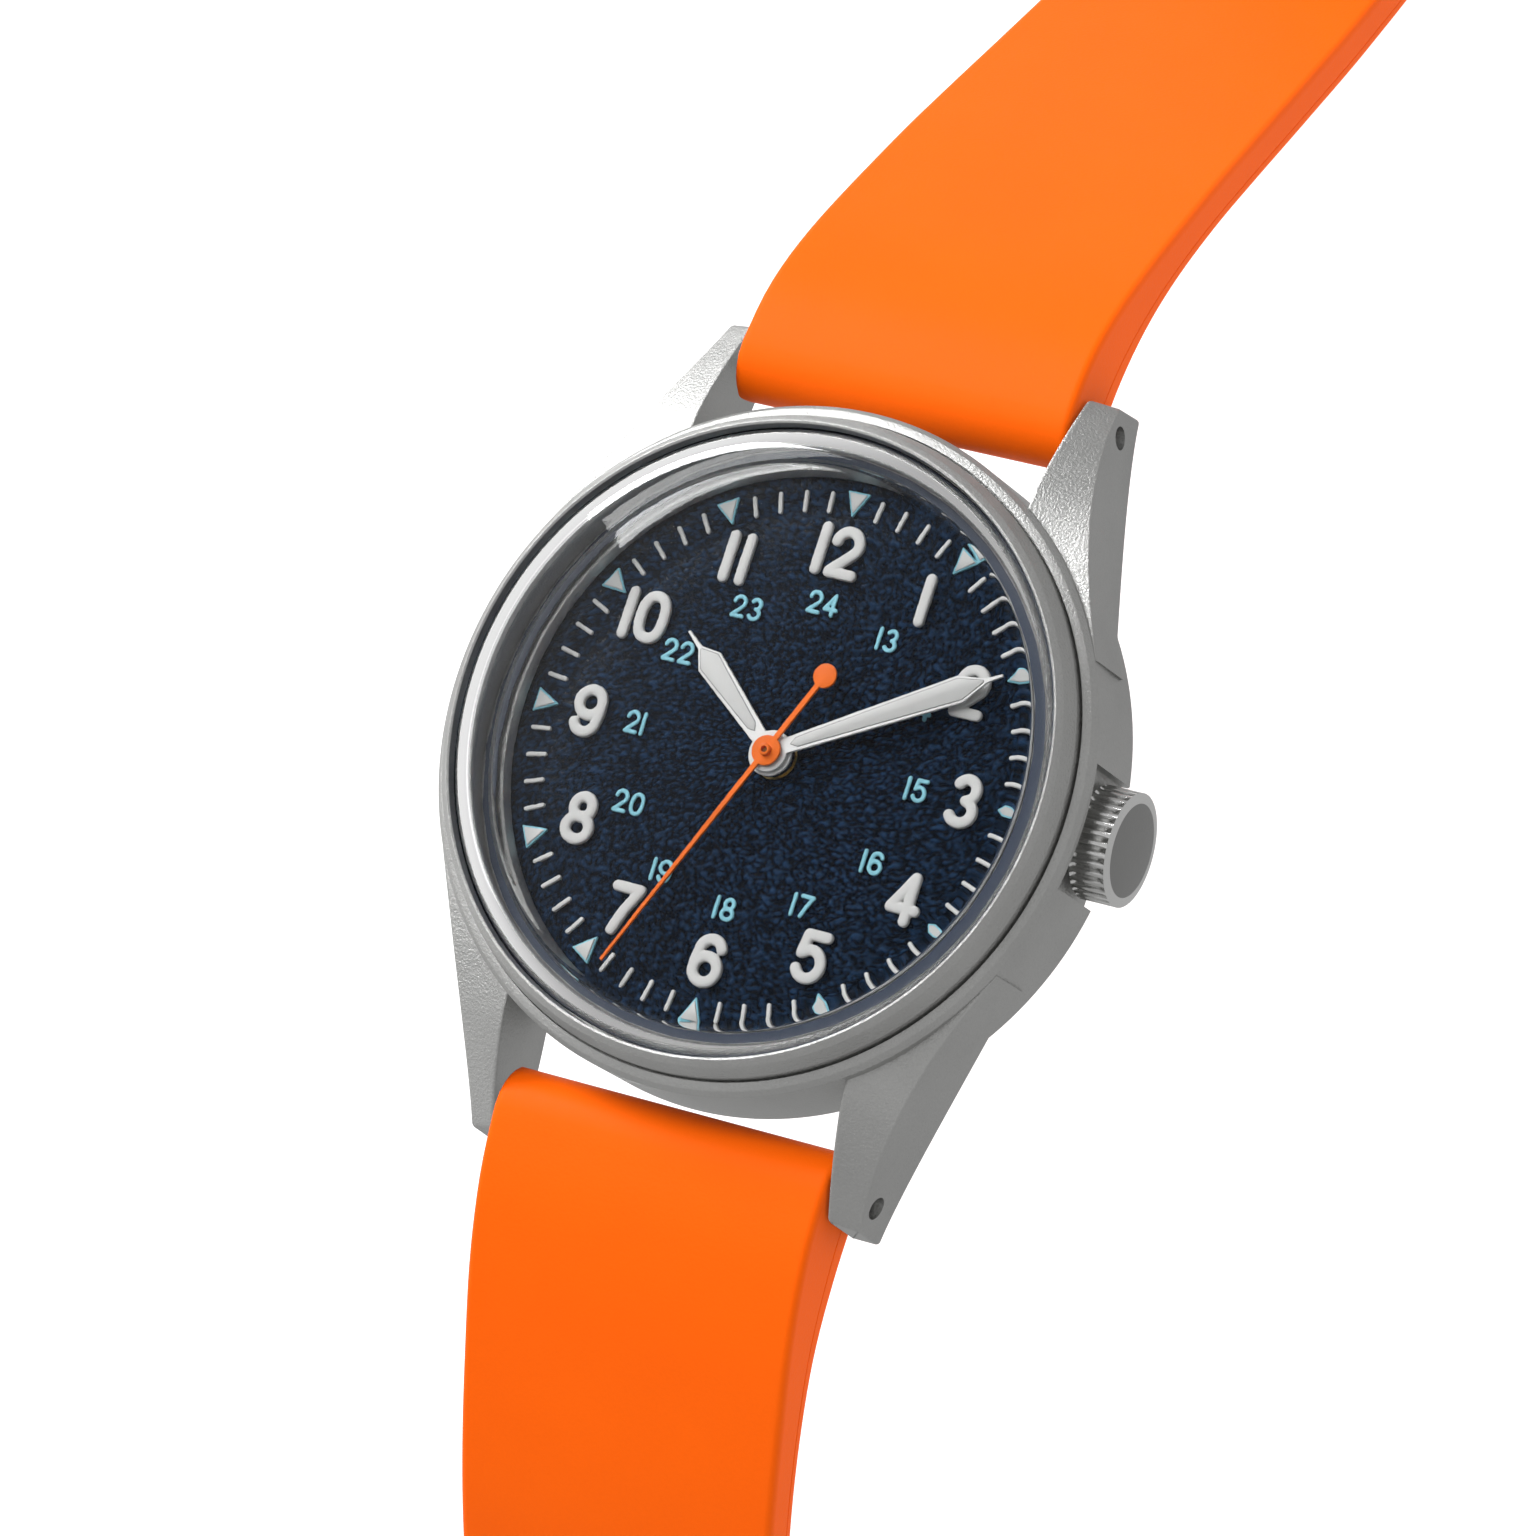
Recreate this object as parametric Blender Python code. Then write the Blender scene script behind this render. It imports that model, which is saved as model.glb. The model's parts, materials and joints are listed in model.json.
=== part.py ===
"""Field watch: 37.5 mm steel case, hand-wound centre-seconds movement, rubber strap, pin buckle.

Frame: the origin is the centre of the case back's outer face, +Z points out of the dial,
+Y points to 12 o'clock and +X to 3 o'clock, where the crown is.  Units are metres.
"""
import math

import bmesh
import bpy
from mathutils import Matrix, Vector

MM = 0.001
GAP = 0.3 * MM
TAU = 2.0 * math.pi

# Facets round a turned piece, by size
LARGE = 48
MEDIUM = 32
SMALL = 14
TINY = 10

# Case: a turned ring with four lugs
CASE_R = 18.75 * MM
CASE_BORE_R = 15.5 * MM
CASE_BOTTOM_Z = 1.3 * MM
CASE_EDGE_Z = 2.1 * MM
SHOULDER_Z = 7.2 * MM
SHOULDER_TOP_Z = 7.7 * MM
SEAT_Z = 7.2 * MM
DIAL_LEDGE_Z = 5.7 * MM
BEZEL_OUTER_R = 17.93 * MM
BEZEL_TOP_Z = 9.5 * MM
CRYSTAL_R = 17.0 * MM
CRYSTAL_TOP_Z = 11.0 * MM
BACK_R = 16.6 * MM
LUG_HALF_OPENING = 10.13 * MM
SPRING_BAR_Y = 21.3 * MM
SPRING_BAR_Z = 2.45 * MM
LUG_HOLE_R = 0.62 * MM

# Crown and winding stem
STEM_Z = 3.27 * MM
CROWN_R = 3.05 * MM
CROWN_X = 17.95 * MM
CROWN_LENGTH = 2.2 * MM
RECESS_HALF_WIDTH = 3.4 * MM
RECESS_X = 17.7 * MM

# Dial and hands
DIAL_R = 16.0 * MM
DIAL_TOP_Z = 6.4 * MM
HOUR_HAND_Z = 6.85 * MM
MINUTE_HAND_Z = 7.15 * MM
SECONDS_HAND_Z = 7.45 * MM
HAND_THICKNESS = 0.15 * MM
HOUR_HAND_ANGLE = 308.0
MINUTE_HAND_ANGLE = 59.7
SECONDS_HAND_ANGLE = 203.3

# Movement: levels from the dial side down to the bridges
MOVEMENT_R = 12.8 * MM
PLATE_TOP_Z = 4.9 * MM
PLATE_BOTTOM_Z = 3.95 * MM
BRIDGE_TOP_Z = 2.3 * MM
BRIDGE_BOTTOM_Z = 1.85 * MM
WINDING_WHEEL_Z = 1.5 * MM
PINION_R = 0.5 * MM

# Axes of the movement, in plan
CENTRE_XY = (0.0, 0.0)
BARREL_XY = (1.82 * MM, 5.72 * MM)
CROWN_WHEEL_XY = (6.59 * MM, 3.29 * MM)
CLICK_XY = (-2.6 * MM, 9.6 * MM)
THIRD_XY = (-3.6 * MM, -1.35 * MM)
ESCAPE_XY = (2.05 * MM, -3.6 * MM)
PALLET_XY = (1.35 * MM, -6.95 * MM)
BALANCE_XY = (-3.0 * MM, -7.8 * MM)
MINUTE_WHEEL_XY = (-1.6 * MM, 2.77 * MM)
SETTING_LEVER_XY = (9.9 * MM, -3.6 * MM)
YOKE_XY = (6.6 * MM, -4.6 * MM)
BRIDGE_SCREWS_XY = {
    "barrel_bridge_screw_left": (-6.4 * MM, 8.4 * MM),
    "barrel_bridge_screw_right": (9.6 * MM, 5.2 * MM),
    "train_bridge_screw": (-9.8 * MM, -2.2 * MM),
    "balance_cock_screw": (-8.2 * MM, -7.9 * MM),
    "pallet_bridge_screw": (4.9 * MM, -8.5 * MM),
}

# Strap, spring bars and buckle
STRAP_HALF_WIDTH = 10.0 * MM
STRAP_END_HALF_WIDTH = 8.0 * MM
STRAP_HALF_THICKNESS = 1.25 * MM
STRAP_NOSE_R = 2.35 * MM
SPRING_BAR_R = 0.75 * MM
STRAP_BORE_R = 1.0 * MM
TAPER_LENGTH = 75.0 * MM
BUCKLE_Y = 88.0 * MM
BUCKLE_Z = -28.5 * MM
BUCKLE_NOSE_R = 1.55 * MM
STRAP_12_PATH = (
    (21.3, 2.45), (24.4, 1.9), (27.9, 0.4), (31.7, -2.0), (36.2, -5.5), (40.3, -9.1),
    (45.6, -13.9), (51.6, -19.2), (58.5, -24.6), (65.0, -27.7), (72.0, -28.7), (80.0, -28.7), (88.0, -28.5),
)
STRAP_6_PATH = (
    (-21.3, 2.45), (-25.0, 2.0), (-29.3, 0.8), (-33.8, -1.3), (-38.3, -3.9), (-42.7, -7.0),
    (-50.5, -13.2), (-58.5, -19.4), (-66.5, -24.8), (-75.5, -28.5), (-86.0, -29.85), (-98.0, -29.85),
    (-114.0, -29.85), (-130.0, -29.85),
)

STEEL = ("blasted steel", (0.52, 0.52, 0.51), 0.45, 1.0)
POLISHED = ("polished steel", (0.75, 0.75, 0.74), 0.12, 1.0)
BRASS = ("gilt brass", (0.80, 0.62, 0.30), 0.3, 1.0)
NICKEL = ("nickel plate", (0.70, 0.70, 0.68), 0.28, 1.0)
RUBBER = ("orange rubber", (1.0, 0.18, 0.01), 0.5, 0.0)
SEAL = ("black seal rubber", (0.02, 0.02, 0.02), 0.6, 0.0)
NYLON = ("white nylon", (0.8, 0.8, 0.78), 0.5, 0.0)
ACRYLIC = ("clear acrylic", (0.95, 0.97, 0.98), 0.03, 0.0)
DIAL_NAVY = ("navy dial", (0.01, 0.025, 0.07), 0.45, 0.0)
HAND_WHITE = ("white lacquer", (0.85, 0.85, 0.83), 0.35, 0.0)
HAND_ORANGE = ("orange lacquer", (0.95, 0.2, 0.01), 0.35, 0.0)


def clear_scene():
    for obj in list(bpy.data.objects):
        bpy.data.objects.remove(obj, do_unlink=True)


def make_material(spec):
    name, colour, roughness, metallic = spec
    mat = bpy.data.materials.get(name)
    if mat is None:
        mat = bpy.data.materials.new(name)
        mat.use_nodes = True
        shader = mat.node_tree.nodes["Principled BSDF"]
        shader.inputs["Base Color"].default_value = (*colour, 1.0)
        shader.inputs["Roughness"].default_value = roughness
        shader.inputs["Metallic"].default_value = metallic
    return mat


def add_object(name, bm, spec):
    """Close the mesh and make it an object with its material."""
    bmesh.ops.remove_doubles(bm, verts=bm.verts, dist=1e-7)
    bmesh.ops.recalc_face_normals(bm, faces=bm.faces)
    mesh = bpy.data.meshes.new(name)
    bm.to_mesh(mesh)
    bm.free()
    mesh.shade_smooth()
    mesh.set_sharp_from_angle(angle=math.radians(35.0))
    mesh.materials.append(make_material(spec))
    obj = bpy.data.objects.new(name, mesh)
    bpy.context.collection.objects.link(obj)
    return obj


def hang_on(point, *names):
    """Move the origins of moving pieces to a point on the axis that they move about or along."""
    for name in names:
        obj = bpy.data.objects[name]
        obj.data.transform(Matrix.Translation(-Vector(point)))
        obj.location = point


def helper(name, bm):
    """A shape that is only cut from, or joined to, another object."""
    obj = add_object(name, bm, STEEL)
    obj.hide_render = True
    obj.display_type = "WIRE"
    return obj


def boolean(obj, tool, operation):
    mod = obj.modifiers.new(operation.title() + " " + tool.name, "BOOLEAN")
    mod.operation = operation
    mod.solver = "EXACT"
    mod.object = tool


def cut(obj, *bodies):
    for index, bm in enumerate(bodies):
        boolean(obj, helper(f"{obj.name} cutter {index}", bm), "DIFFERENCE")


def join(obj, *bodies):
    for index, bm in enumerate(bodies):
        boolean(obj, helper(f"{obj.name} body {index}", bm), "UNION")


def turned(outline, segments, centre=(0.0, 0.0), axis="Z", height=0.0):
    """Turn an outline of (radius, height) points about Z, or about the line along X or -X at height."""
    bm = bmesh.new()
    verts = [bm.verts.new((radius, 0.0, z)) for radius, z in outline]
    pairs = list(zip(verts, verts[1:]))
    if outline[0][0] > 0.0 or outline[-1][0] > 0.0:
        pairs.append((verts[-1], verts[0]))
    edges = [bm.edges.new(pair) for pair in pairs]
    bmesh.ops.spin(bm, geom=verts + edges, cent=(0, 0, 0), axis=(0, 0, 1), angle=TAU, steps=segments)
    bmesh.ops.remove_doubles(bm, verts=bm.verts, dist=1e-7)
    if axis == "X":
        bmesh.ops.rotate(bm, verts=bm.verts, matrix=Matrix.Rotation(math.radians(90.0), 3, "Y"))
    bmesh.ops.translate(bm, verts=bm.verts, vec=(centre[0], centre[1], height))
    return bm


def pin(radius, start, end, segments, centre=(0.0, 0.0), axis="Z", height=0.0):
    return turned(((0.0, start), (radius, start), (radius, end), (0.0, end)), segments, centre, axis, height)


def tube(inner, outer, start, end, segments, centre=(0.0, 0.0), axis="Z", height=0.0):
    outline = ((inner, start), (outer, start), (outer, end), (inner, end))
    return turned(outline, segments, centre, axis, height)


def box(low, high):
    bm = bmesh.new()
    bmesh.ops.create_cube(bm, size=1.0)
    size = Vector(high) - Vector(low)
    bmesh.ops.scale(bm, verts=bm.verts, vec=size)
    bmesh.ops.translate(bm, verts=bm.verts, vec=(Vector(high) + Vector(low)) / 2.0)
    return bm


def prism(outline, bottom, top, centre=(0.0, 0.0), turn=0.0):
    """Extrude an outline in plan from bottom to top, turned clockwise by turn degrees about centre."""
    bm = bmesh.new()
    face = bm.faces.new([bm.verts.new((x, y, bottom)) for x, y in outline])
    grown = bmesh.ops.extrude_face_region(bm, geom=[face])["geom"]
    lifted = [item for item in grown if isinstance(item, bmesh.types.BMVert)]
    bmesh.ops.translate(bm, verts=lifted, vec=(0.0, 0.0, top - bottom))
    bmesh.ops.rotate(bm, verts=bm.verts, matrix=Matrix.Rotation(-math.radians(turn), 3, "Z"))
    bmesh.ops.translate(bm, verts=bm.verts, vec=(centre[0], centre[1], 0.0))
    return bm


def arc(centre, radius, start, end, steps):
    """Points on an arc, in degrees counter-clockwise from +X."""
    points = []
    for step in range(steps + 1):
        angle = math.radians(start + (end - start) * step / steps)
        points.append((centre[0] + radius * math.cos(angle), centre[1] + radius * math.sin(angle)))
    return points


def toothed(teeth, tip_r, root_r, bottom, top, centre=(0.0, 0.0)):
    """A toothed disc, one tip and one root point to each tooth."""
    outline = []
    for step in range(2 * teeth):
        radius = tip_r if step % 2 == 0 else root_r
        angle = math.pi * step / teeth
        outline.append((radius * math.cos(angle), radius * math.sin(angle)))
    return prism(outline, bottom, top, centre)


def bar(start, end, width, bottom, top):
    """A flat bar with round ends between two points in plan."""
    direction = math.degrees(math.atan2(end[1] - start[1], end[0] - start[0]))
    outline = arc(start, width / 2.0, direction + 90.0, direction + 270.0, 4)
    outline += arc(end, width / 2.0, direction - 90.0, direction + 90.0, 4)
    return prism(outline, bottom, top)


# ---------------------------------------------------------------- case

def lug_ridge_x(y):
    """Outer edge of a lug in plan: a concave flare that runs from the case side to the tip."""
    reach = max(0.0, (23.2 * MM - y) / (14.0 * MM))
    return 11.75 * MM + 4.7 * MM * reach ** 1.45


def lug_ridge_z(y):
    """Height of the edge between a lug's top and its side, falling towards the tip."""
    fall = max(0.0, (y - 9.0 * MM) / (13.8 * MM))
    return 7.05 * MM - 4.15 * MM * fall ** 2.1


def lug_top_rise(y):
    """How far the lug's inner top edge stands above its ridge."""
    return 0.8 * MM * min(1.0, max(0.0, (y - 12.0 * MM) / (5.0 * MM)))


def lug_bottom_z(y):
    reach = (23.3 * MM - y) / (12.2 * MM)
    return 0.22 * MM + 2.9 * MM * reach ** 2


def lug(side_x, side_y):
    """One lug, lofted along Y and mirrored into its quarter of the case."""
    bm = bmesh.new()
    stations = [8.6, 10.5, 12.3, 14.0, 15.6, 17.1, 18.5, 19.8, 20.9, 21.9, 22.8]
    end_lean = 0.4 * MM
    rings = []
    for index, station in enumerate(stations):
        y = station * MM
        lean = end_lean if index == len(stations) - 1 else 0.0
        low = min(lug_bottom_z(y), CASE_EDGE_Z + 1.2 * MM)
        corners = (
            (LUG_HALF_OPENING, y, lug_ridge_z(y) + lug_top_rise(y)),
            (lug_ridge_x(y), y, lug_ridge_z(y)),
            (lug_ridge_x(y) + 0.1 * MM, y + lean, low),
            (LUG_HALF_OPENING, y + lean, low),
        )
        rings.append([bm.verts.new((side_x * x, side_y * v, z)) for x, v, z in corners])
    for first, second in zip(rings, rings[1:]):
        for i in range(4):
            j = (i + 1) % 4
            bm.faces.new((first[i], first[j], second[j], second[i]))
    bm.faces.new(rings[0])
    bm.faces.new(rings[-1])
    return bm


def build_case():
    body = (
        (0.0, CASE_BOTTOM_Z), (17.5 * MM, CASE_BOTTOM_Z), (18.45 * MM, 1.6 * MM), (CASE_R, CASE_EDGE_Z),
        (CASE_R, SHOULDER_Z), (18.5 * MM, 7.55 * MM), (18.08 * MM, SHOULDER_TOP_Z), (0.0, SHOULDER_TOP_Z),
    )
    bore = (
        (0.0, -MM), (16.2 * MM, -MM), (16.2 * MM, 1.75 * MM), (CASE_BORE_R, 1.75 * MM),
        (CASE_BORE_R, DIAL_LEDGE_Z), (16.3 * MM, DIAL_LEDGE_Z), (16.3 * MM, SEAT_Z), (18.05 * MM, SEAT_Z),
        (18.05 * MM, 9.0 * MM), (0.0, 9.0 * MM),
    )
    case = add_object("case_middle", turned(body, LARGE), STEEL)
    join(case, *[lug(side_x, side_y) for side_x in (1, -1) for side_y in (1, -1)])
    recess = box((RECESS_X, -RECESS_HALF_WIDTH, -MM), (24.0 * MM, RECESS_HALF_WIDTH, 6.9 * MM))
    tube_hole = pin(1.15 * MM, 13.0 * MM, 20.0 * MM, SMALL, axis="X", height=STEM_Z)
    bar_holes = []
    for side_y in (1, -1):
        place = (0.0, side_y * SPRING_BAR_Y)
        bar_holes.append(pin(LUG_HOLE_R, -16.0 * MM, 16.0 * MM, SMALL, place, "X", SPRING_BAR_Z))
    cut(case, turned(bore, LARGE), recess, tube_hole, *bar_holes)


def build_case_fittings():
    bezel = (
        (17.12 * MM, 7.3 * MM), (BEZEL_OUTER_R, 7.3 * MM), (BEZEL_OUTER_R, 8.2 * MM),
        (17.6 * MM, 9.2 * MM), (17.25 * MM, BEZEL_TOP_Z), (17.12 * MM, 9.42 * MM),
    )
    add_object("bezel", turned(bezel, LARGE), STEEL)
    rehaut = (
        (15.35 * MM, 6.6 * MM), (16.15 * MM, 6.6 * MM), (16.15 * MM, 7.1 * MM), (15.75 * MM, 7.1 * MM),
        (15.75 * MM, 8.8 * MM), (15.55 * MM, 8.8 * MM),
    )
    add_object("rehaut_ring", turned(rehaut, MEDIUM), POLISHED)
    add_object("crystal_gasket", tube(15.95 * MM, 16.95 * MM, 7.28 * MM, 7.42 * MM, MEDIUM), NYLON)
    sleeve = tube(0.75 * MM, 0.95 * MM, 16.3 * MM, 18.9 * MM, SMALL, axis="X", height=STEM_Z)
    add_object("crown_tube", sleeve, POLISHED)


def dome_outline(edge_r, edge_z, corner, top_z, steps):
    """Half outline of a domed disc with a round corner, from the wall up to the middle."""
    points = [(edge_r, edge_z - corner)]
    reach = edge_r - corner
    for step in range(1, 3):
        angle = math.radians(45.0 * step)
        points.append((reach + corner * math.cos(angle), edge_z - corner + corner * math.sin(angle)))
    for step in range(1, steps + 1):
        radius = reach * (1.0 - step / steps)
        points.append((radius, edge_z + (top_z - edge_z) * (1.0 - (radius / reach) ** 2)))
    return points


def build_crystal():
    inside = dome_outline(15.9 * MM, 9.25 * MM, 0.4 * MM, 9.75 * MM, 3)
    outside = dome_outline(CRYSTAL_R, 10.2 * MM, 0.6 * MM, CRYSTAL_TOP_Z, 4)
    base_z = 7.5 * MM
    outline = list(reversed(inside)) + [(15.9 * MM, base_z), (CRYSTAL_R, base_z)] + outside
    add_object("crystal", turned(outline, MEDIUM), ACRYLIC)


def build_case_back():
    outline = (
        (0.0, 0.0), (15.9 * MM, 0.0), (BACK_R, 0.35 * MM), (BACK_R, 1.1 * MM), (15.25 * MM, 1.1 * MM),
        (15.25 * MM, 1.35 * MM), (0.0, 1.35 * MM),
    )
    back = add_object("case_back", turned(outline, MEDIUM), STEEL)
    notches = []
    for step in range(6):
        notch = box((15.6 * MM, -1.0 * MM, -1.0 * MM), (18.0 * MM, 1.0 * MM, 0.7 * MM))
        bmesh.ops.rotate(notch, verts=notch.verts, matrix=Matrix.Rotation(TAU * (step + 0.5) / 6, 3, "Z"))
        notches.append(notch)
    cut(back, *notches)
    add_object("case_back_gasket", tube(15.55 * MM, 16.05 * MM, 1.25 * MM, 1.6 * MM, MEDIUM), SEAL)


# ---------------------------------------------------------------- dial and hands

def hand(name, outline, hub_r, bore_r, level, angle, spec):
    """A flat hand that points along +Y, turned clockwise to its angle, with a bored round hub."""
    body = prism(outline, level, level + HAND_THICKNESS, turn=angle)
    piece = add_object(name, body, spec)
    join(piece, pin(hub_r, level, level + HAND_THICKNESS, 20))
    cut(piece, pin(bore_r, level - GAP, level + HAND_THICKNESS + GAP, SMALL))
    return piece


def lance(length, widest, at, neck, root_half):
    """Outline of a lance hand: it widens from the hub to its shoulder, then runs to a needle tip."""
    needle = 0.13 * MM
    right = [(root_half, 0.0), (widest / 2.0, at), (needle, neck), (0.06 * MM, length)]
    return right + [(-x, y) for x, y in reversed(right)]


def build_dial_and_hands():
    dial = tube(1.25 * MM, DIAL_R, DIAL_TOP_Z - 0.4 * MM, DIAL_TOP_Z, MEDIUM)
    add_object("dial", dial, DIAL_NAVY)
    hour = lance(8.75 * MM, 1.55 * MM, 6.5 * MM, 7.55 * MM, 0.42 * MM)
    hand("hour_hand", hour, 1.25 * MM, 0.97 * MM, HOUR_HAND_Z, HOUR_HAND_ANGLE, HAND_WHITE)
    minute = lance(13.55 * MM, 1.53 * MM, 11.1 * MM, 12.6 * MM, 0.42 * MM)
    hand("minute_hand", minute, 1.1 * MM, 0.7 * MM, MINUTE_HAND_Z, MINUTE_HAND_ANGLE, HAND_WHITE)
    stem_half = 0.16 * MM
    tip_half = 0.09 * MM
    weight_y = -5.0 * MM
    weight_r = 0.67 * MM
    seconds = [(stem_half, -4.35 * MM), (stem_half, 0.0), (tip_half, 14.1 * MM), (-tip_half, 14.1 * MM)]
    seconds += [(-stem_half, 0.0), (-stem_half, -4.35 * MM)]
    seconds += arc((0.0, weight_y), weight_r, 104.0, 436.0, 14)[:-1]
    hand("seconds_hand", seconds, 0.83 * MM, 0.22 * MM, SECONDS_HAND_Z, SECONDS_HAND_ANGLE, HAND_ORANGE)


# ---------------------------------------------------------------- crown and stem

def build_crown():
    end = CROWN_X + CROWN_LENGTH
    outline = (
        (1.5 * MM, CROWN_X), (2.8 * MM, CROWN_X), (CROWN_R, CROWN_X + 0.2 * MM), (CROWN_R, end - 0.2 * MM),
        (2.8 * MM, end), (2.6 * MM, end), (1.4 * MM, end + 0.22 * MM), (0.0, end + 0.28 * MM),
        (0.0, 19.15 * MM), (1.5 * MM, 19.15 * MM),
    )
    add_object("crown", turned(outline, 24, axis="X", height=STEM_Z), POLISHED)
    seal = tube(1.05 * MM, 1.4 * MM, 18.2 * MM, 18.6 * MM, SMALL, axis="X", height=STEM_Z)
    add_object("crown_gasket", seal, SEAL)
    add_object("winding_stem", pin(0.55 * MM, 6.9 * MM, 19.05 * MM, TINY, axis="X", height=STEM_Z), NICKEL)
    pinion = tube(0.7 * MM, 1.2 * MM, 10.7 * MM, 11.7 * MM, SMALL, axis="X", height=STEM_Z)
    add_object("winding_pinion", pinion, NICKEL)
    clutch = (
        (0.7 * MM, 8.6 * MM), (1.2 * MM, 8.6 * MM), (1.2 * MM, 9.1 * MM), (0.95 * MM, 9.1 * MM),
        (0.95 * MM, 9.7 * MM), (1.2 * MM, 9.7 * MM), (1.2 * MM, 10.4 * MM), (0.7 * MM, 10.4 * MM),
    )
    add_object("sliding_clutch", turned(clutch, TINY, axis="X", height=STEM_Z), NICKEL)


# ---------------------------------------------------------------- movement

def disc_slice(low, high, left, right, radius):
    """Outline of the part of a disc that lies between low and high in Y, and left and right in X."""
    steps = 8
    heights = [low + (high - low) * step / steps for step in range(steps + 1)]
    reach = [math.sqrt(max(0.0, radius ** 2 - y ** 2)) for y in heights]
    outline = [(min(r, right), y) for r, y in zip(reach, heights)]
    outline += [(max(-r, left), y) for r, y in zip(reversed(reach), reversed(heights))]
    return outline


def build_plates():
    holder = add_object("movement_holder", tube(13.1 * MM, 15.2 * MM, 2.0 * MM, 5.8 * MM, MEDIUM), NYLON)
    cut(holder, pin(1.0 * MM, 12.0 * MM, 17.0 * MM, TINY, axis="X", height=STEM_Z))
    plate = add_object("main_plate", pin(MOVEMENT_R, PLATE_BOTTOM_Z, PLATE_TOP_Z, MEDIUM), BRASS)
    stem_block = box((7.0 * MM, -3.2 * MM, 2.5 * MM), (12.2 * MM, 3.2 * MM, 4.2 * MM))
    stud_top = 5.7 * MM
    studs = []
    for centre in (MINUTE_WHEEL_XY, SETTING_LEVER_XY, YOKE_XY):
        studs.append(pin(0.22 * MM, 4.5 * MM, stud_top, 8, centre))
    join(plate, stem_block, *studs)
    window = box((7.9 * MM, -1.5 * MM, 2.0 * MM), (12.0 * MM, 1.5 * MM, 5.2 * MM))
    stem_hole = pin(0.7 * MM, 5.0 * MM, 14.0 * MM, TINY, axis="X", height=STEM_Z)
    cut(plate, window, stem_hole, pin(0.6 * MM, 3.0 * MM, 6.0 * MM, TINY))


def post(centre, radius):
    """Foot of a bridge, which stands between the bridge and the main plate."""
    return pin(radius, BRIDGE_BOTTOM_Z + 0.1 * MM, PLATE_BOTTOM_Z - 0.1 * MM, TINY, centre)


def screw_hole(centre):
    return pin(0.4 * MM, 1.0 * MM, 3.0 * MM, TINY, centre)


def build_bridges():
    screws = BRIDGE_SCREWS_XY
    left = screws["barrel_bridge_screw_left"]
    right = screws["barrel_bridge_screw_right"]
    region = disc_slice(1.6 * MM, 12.2 * MM, -MOVEMENT_R, MOVEMENT_R, 12.7 * MM)
    barrel = add_object("barrel_bridge", prism(region, BRIDGE_BOTTOM_Z, BRIDGE_TOP_Z), NICKEL)
    join(barrel, post(left, 0.8 * MM), post(right, 0.8 * MM))
    pivots = [pin(radius, 1.0 * MM, 2.6 * MM, TINY, centre) for centre, radius in (
        (BARREL_XY, 0.6 * MM), (CROWN_WHEEL_XY, 0.5 * MM), (CLICK_XY, 0.45 * MM))]
    cut(barrel, screw_hole(left), screw_hole(right), *pivots)

    centre = screws["train_bridge_screw"]
    region = disc_slice(-5.2 * MM, 1.3 * MM, -MOVEMENT_R, 5.9 * MM, 12.7 * MM)
    train = add_object("train_bridge", prism(region, BRIDGE_BOTTOM_Z, BRIDGE_TOP_Z), NICKEL)
    join(train, post(centre, 0.8 * MM), post((5.0 * MM, -0.9 * MM), 0.6 * MM))
    cut(train, screw_hole(centre))

    centre = screws["balance_cock_screw"]
    arm = bar(BALANCE_XY, centre, 1.8 * MM, BRIDGE_BOTTOM_Z, BRIDGE_TOP_Z)
    cock = add_object("balance_cock", arm, NICKEL)
    join(cock, post(centre, 0.88 * MM))
    cut(cock, screw_hole(centre))

    centre = screws["pallet_bridge_screw"]
    arm = bar(PALLET_XY, centre, 1.5 * MM, BRIDGE_BOTTOM_Z, BRIDGE_TOP_Z)
    pallet = add_object("pallet_bridge", arm, NICKEL)
    join(pallet, post(centre, 0.7 * MM))
    cut(pallet, screw_hole(centre))

    for name, centre in screws.items():
        shaft = ((0.0, 1.45 * MM), (0.6 * MM, 1.45 * MM), (0.6 * MM, 1.75 * MM), (0.3 * MM, 1.75 * MM),
                 (0.3 * MM, 2.8 * MM), (0.0, 2.8 * MM))
        screw = add_object(name, turned(shaft, TINY, centre), POLISHED)
        slot_half = 0.09 * MM
        low = (centre[0] - MM, centre[1] - slot_half, MM)
        cut(screw, box(low, (centre[0] + MM, centre[1] + slot_half, 1.58 * MM)))


def train_wheel(name, centre, teeth, tip_r, level, pinion_r, pinion_low, pinion_high, arbor_high, spec):
    """A toothed wheel, its pinion and its arbor as one piece."""
    disc = toothed(teeth, tip_r, tip_r - 0.2 * MM, level, level + 0.15 * MM, centre)
    wheel = add_object(name, disc, spec)
    arbor = pin(0.15 * MM, 2.4 * MM, arbor_high, 8, centre)
    join(wheel, arbor, toothed(7, pinion_r, pinion_r - 0.12 * MM, pinion_low, pinion_high, centre))


def spiral(inner_r, outer_r, turns, width, bottom, top, centre):
    """A flat coiled strip, from its inner end to its outer end."""
    steps = int(10 * turns)
    walls = []
    for offset in (-width / 2.0, width / 2.0):
        wall = []
        for step in range(steps + 1):
            share = step / steps
            radius = inner_r + (outer_r - inner_r) * share + offset
            angle = TAU * turns * share
            wall.append((radius * math.cos(angle), radius * math.sin(angle)))
        walls.append(wall)
    return prism(walls[1] + walls[0][::-1], bottom, top, centre)


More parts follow.
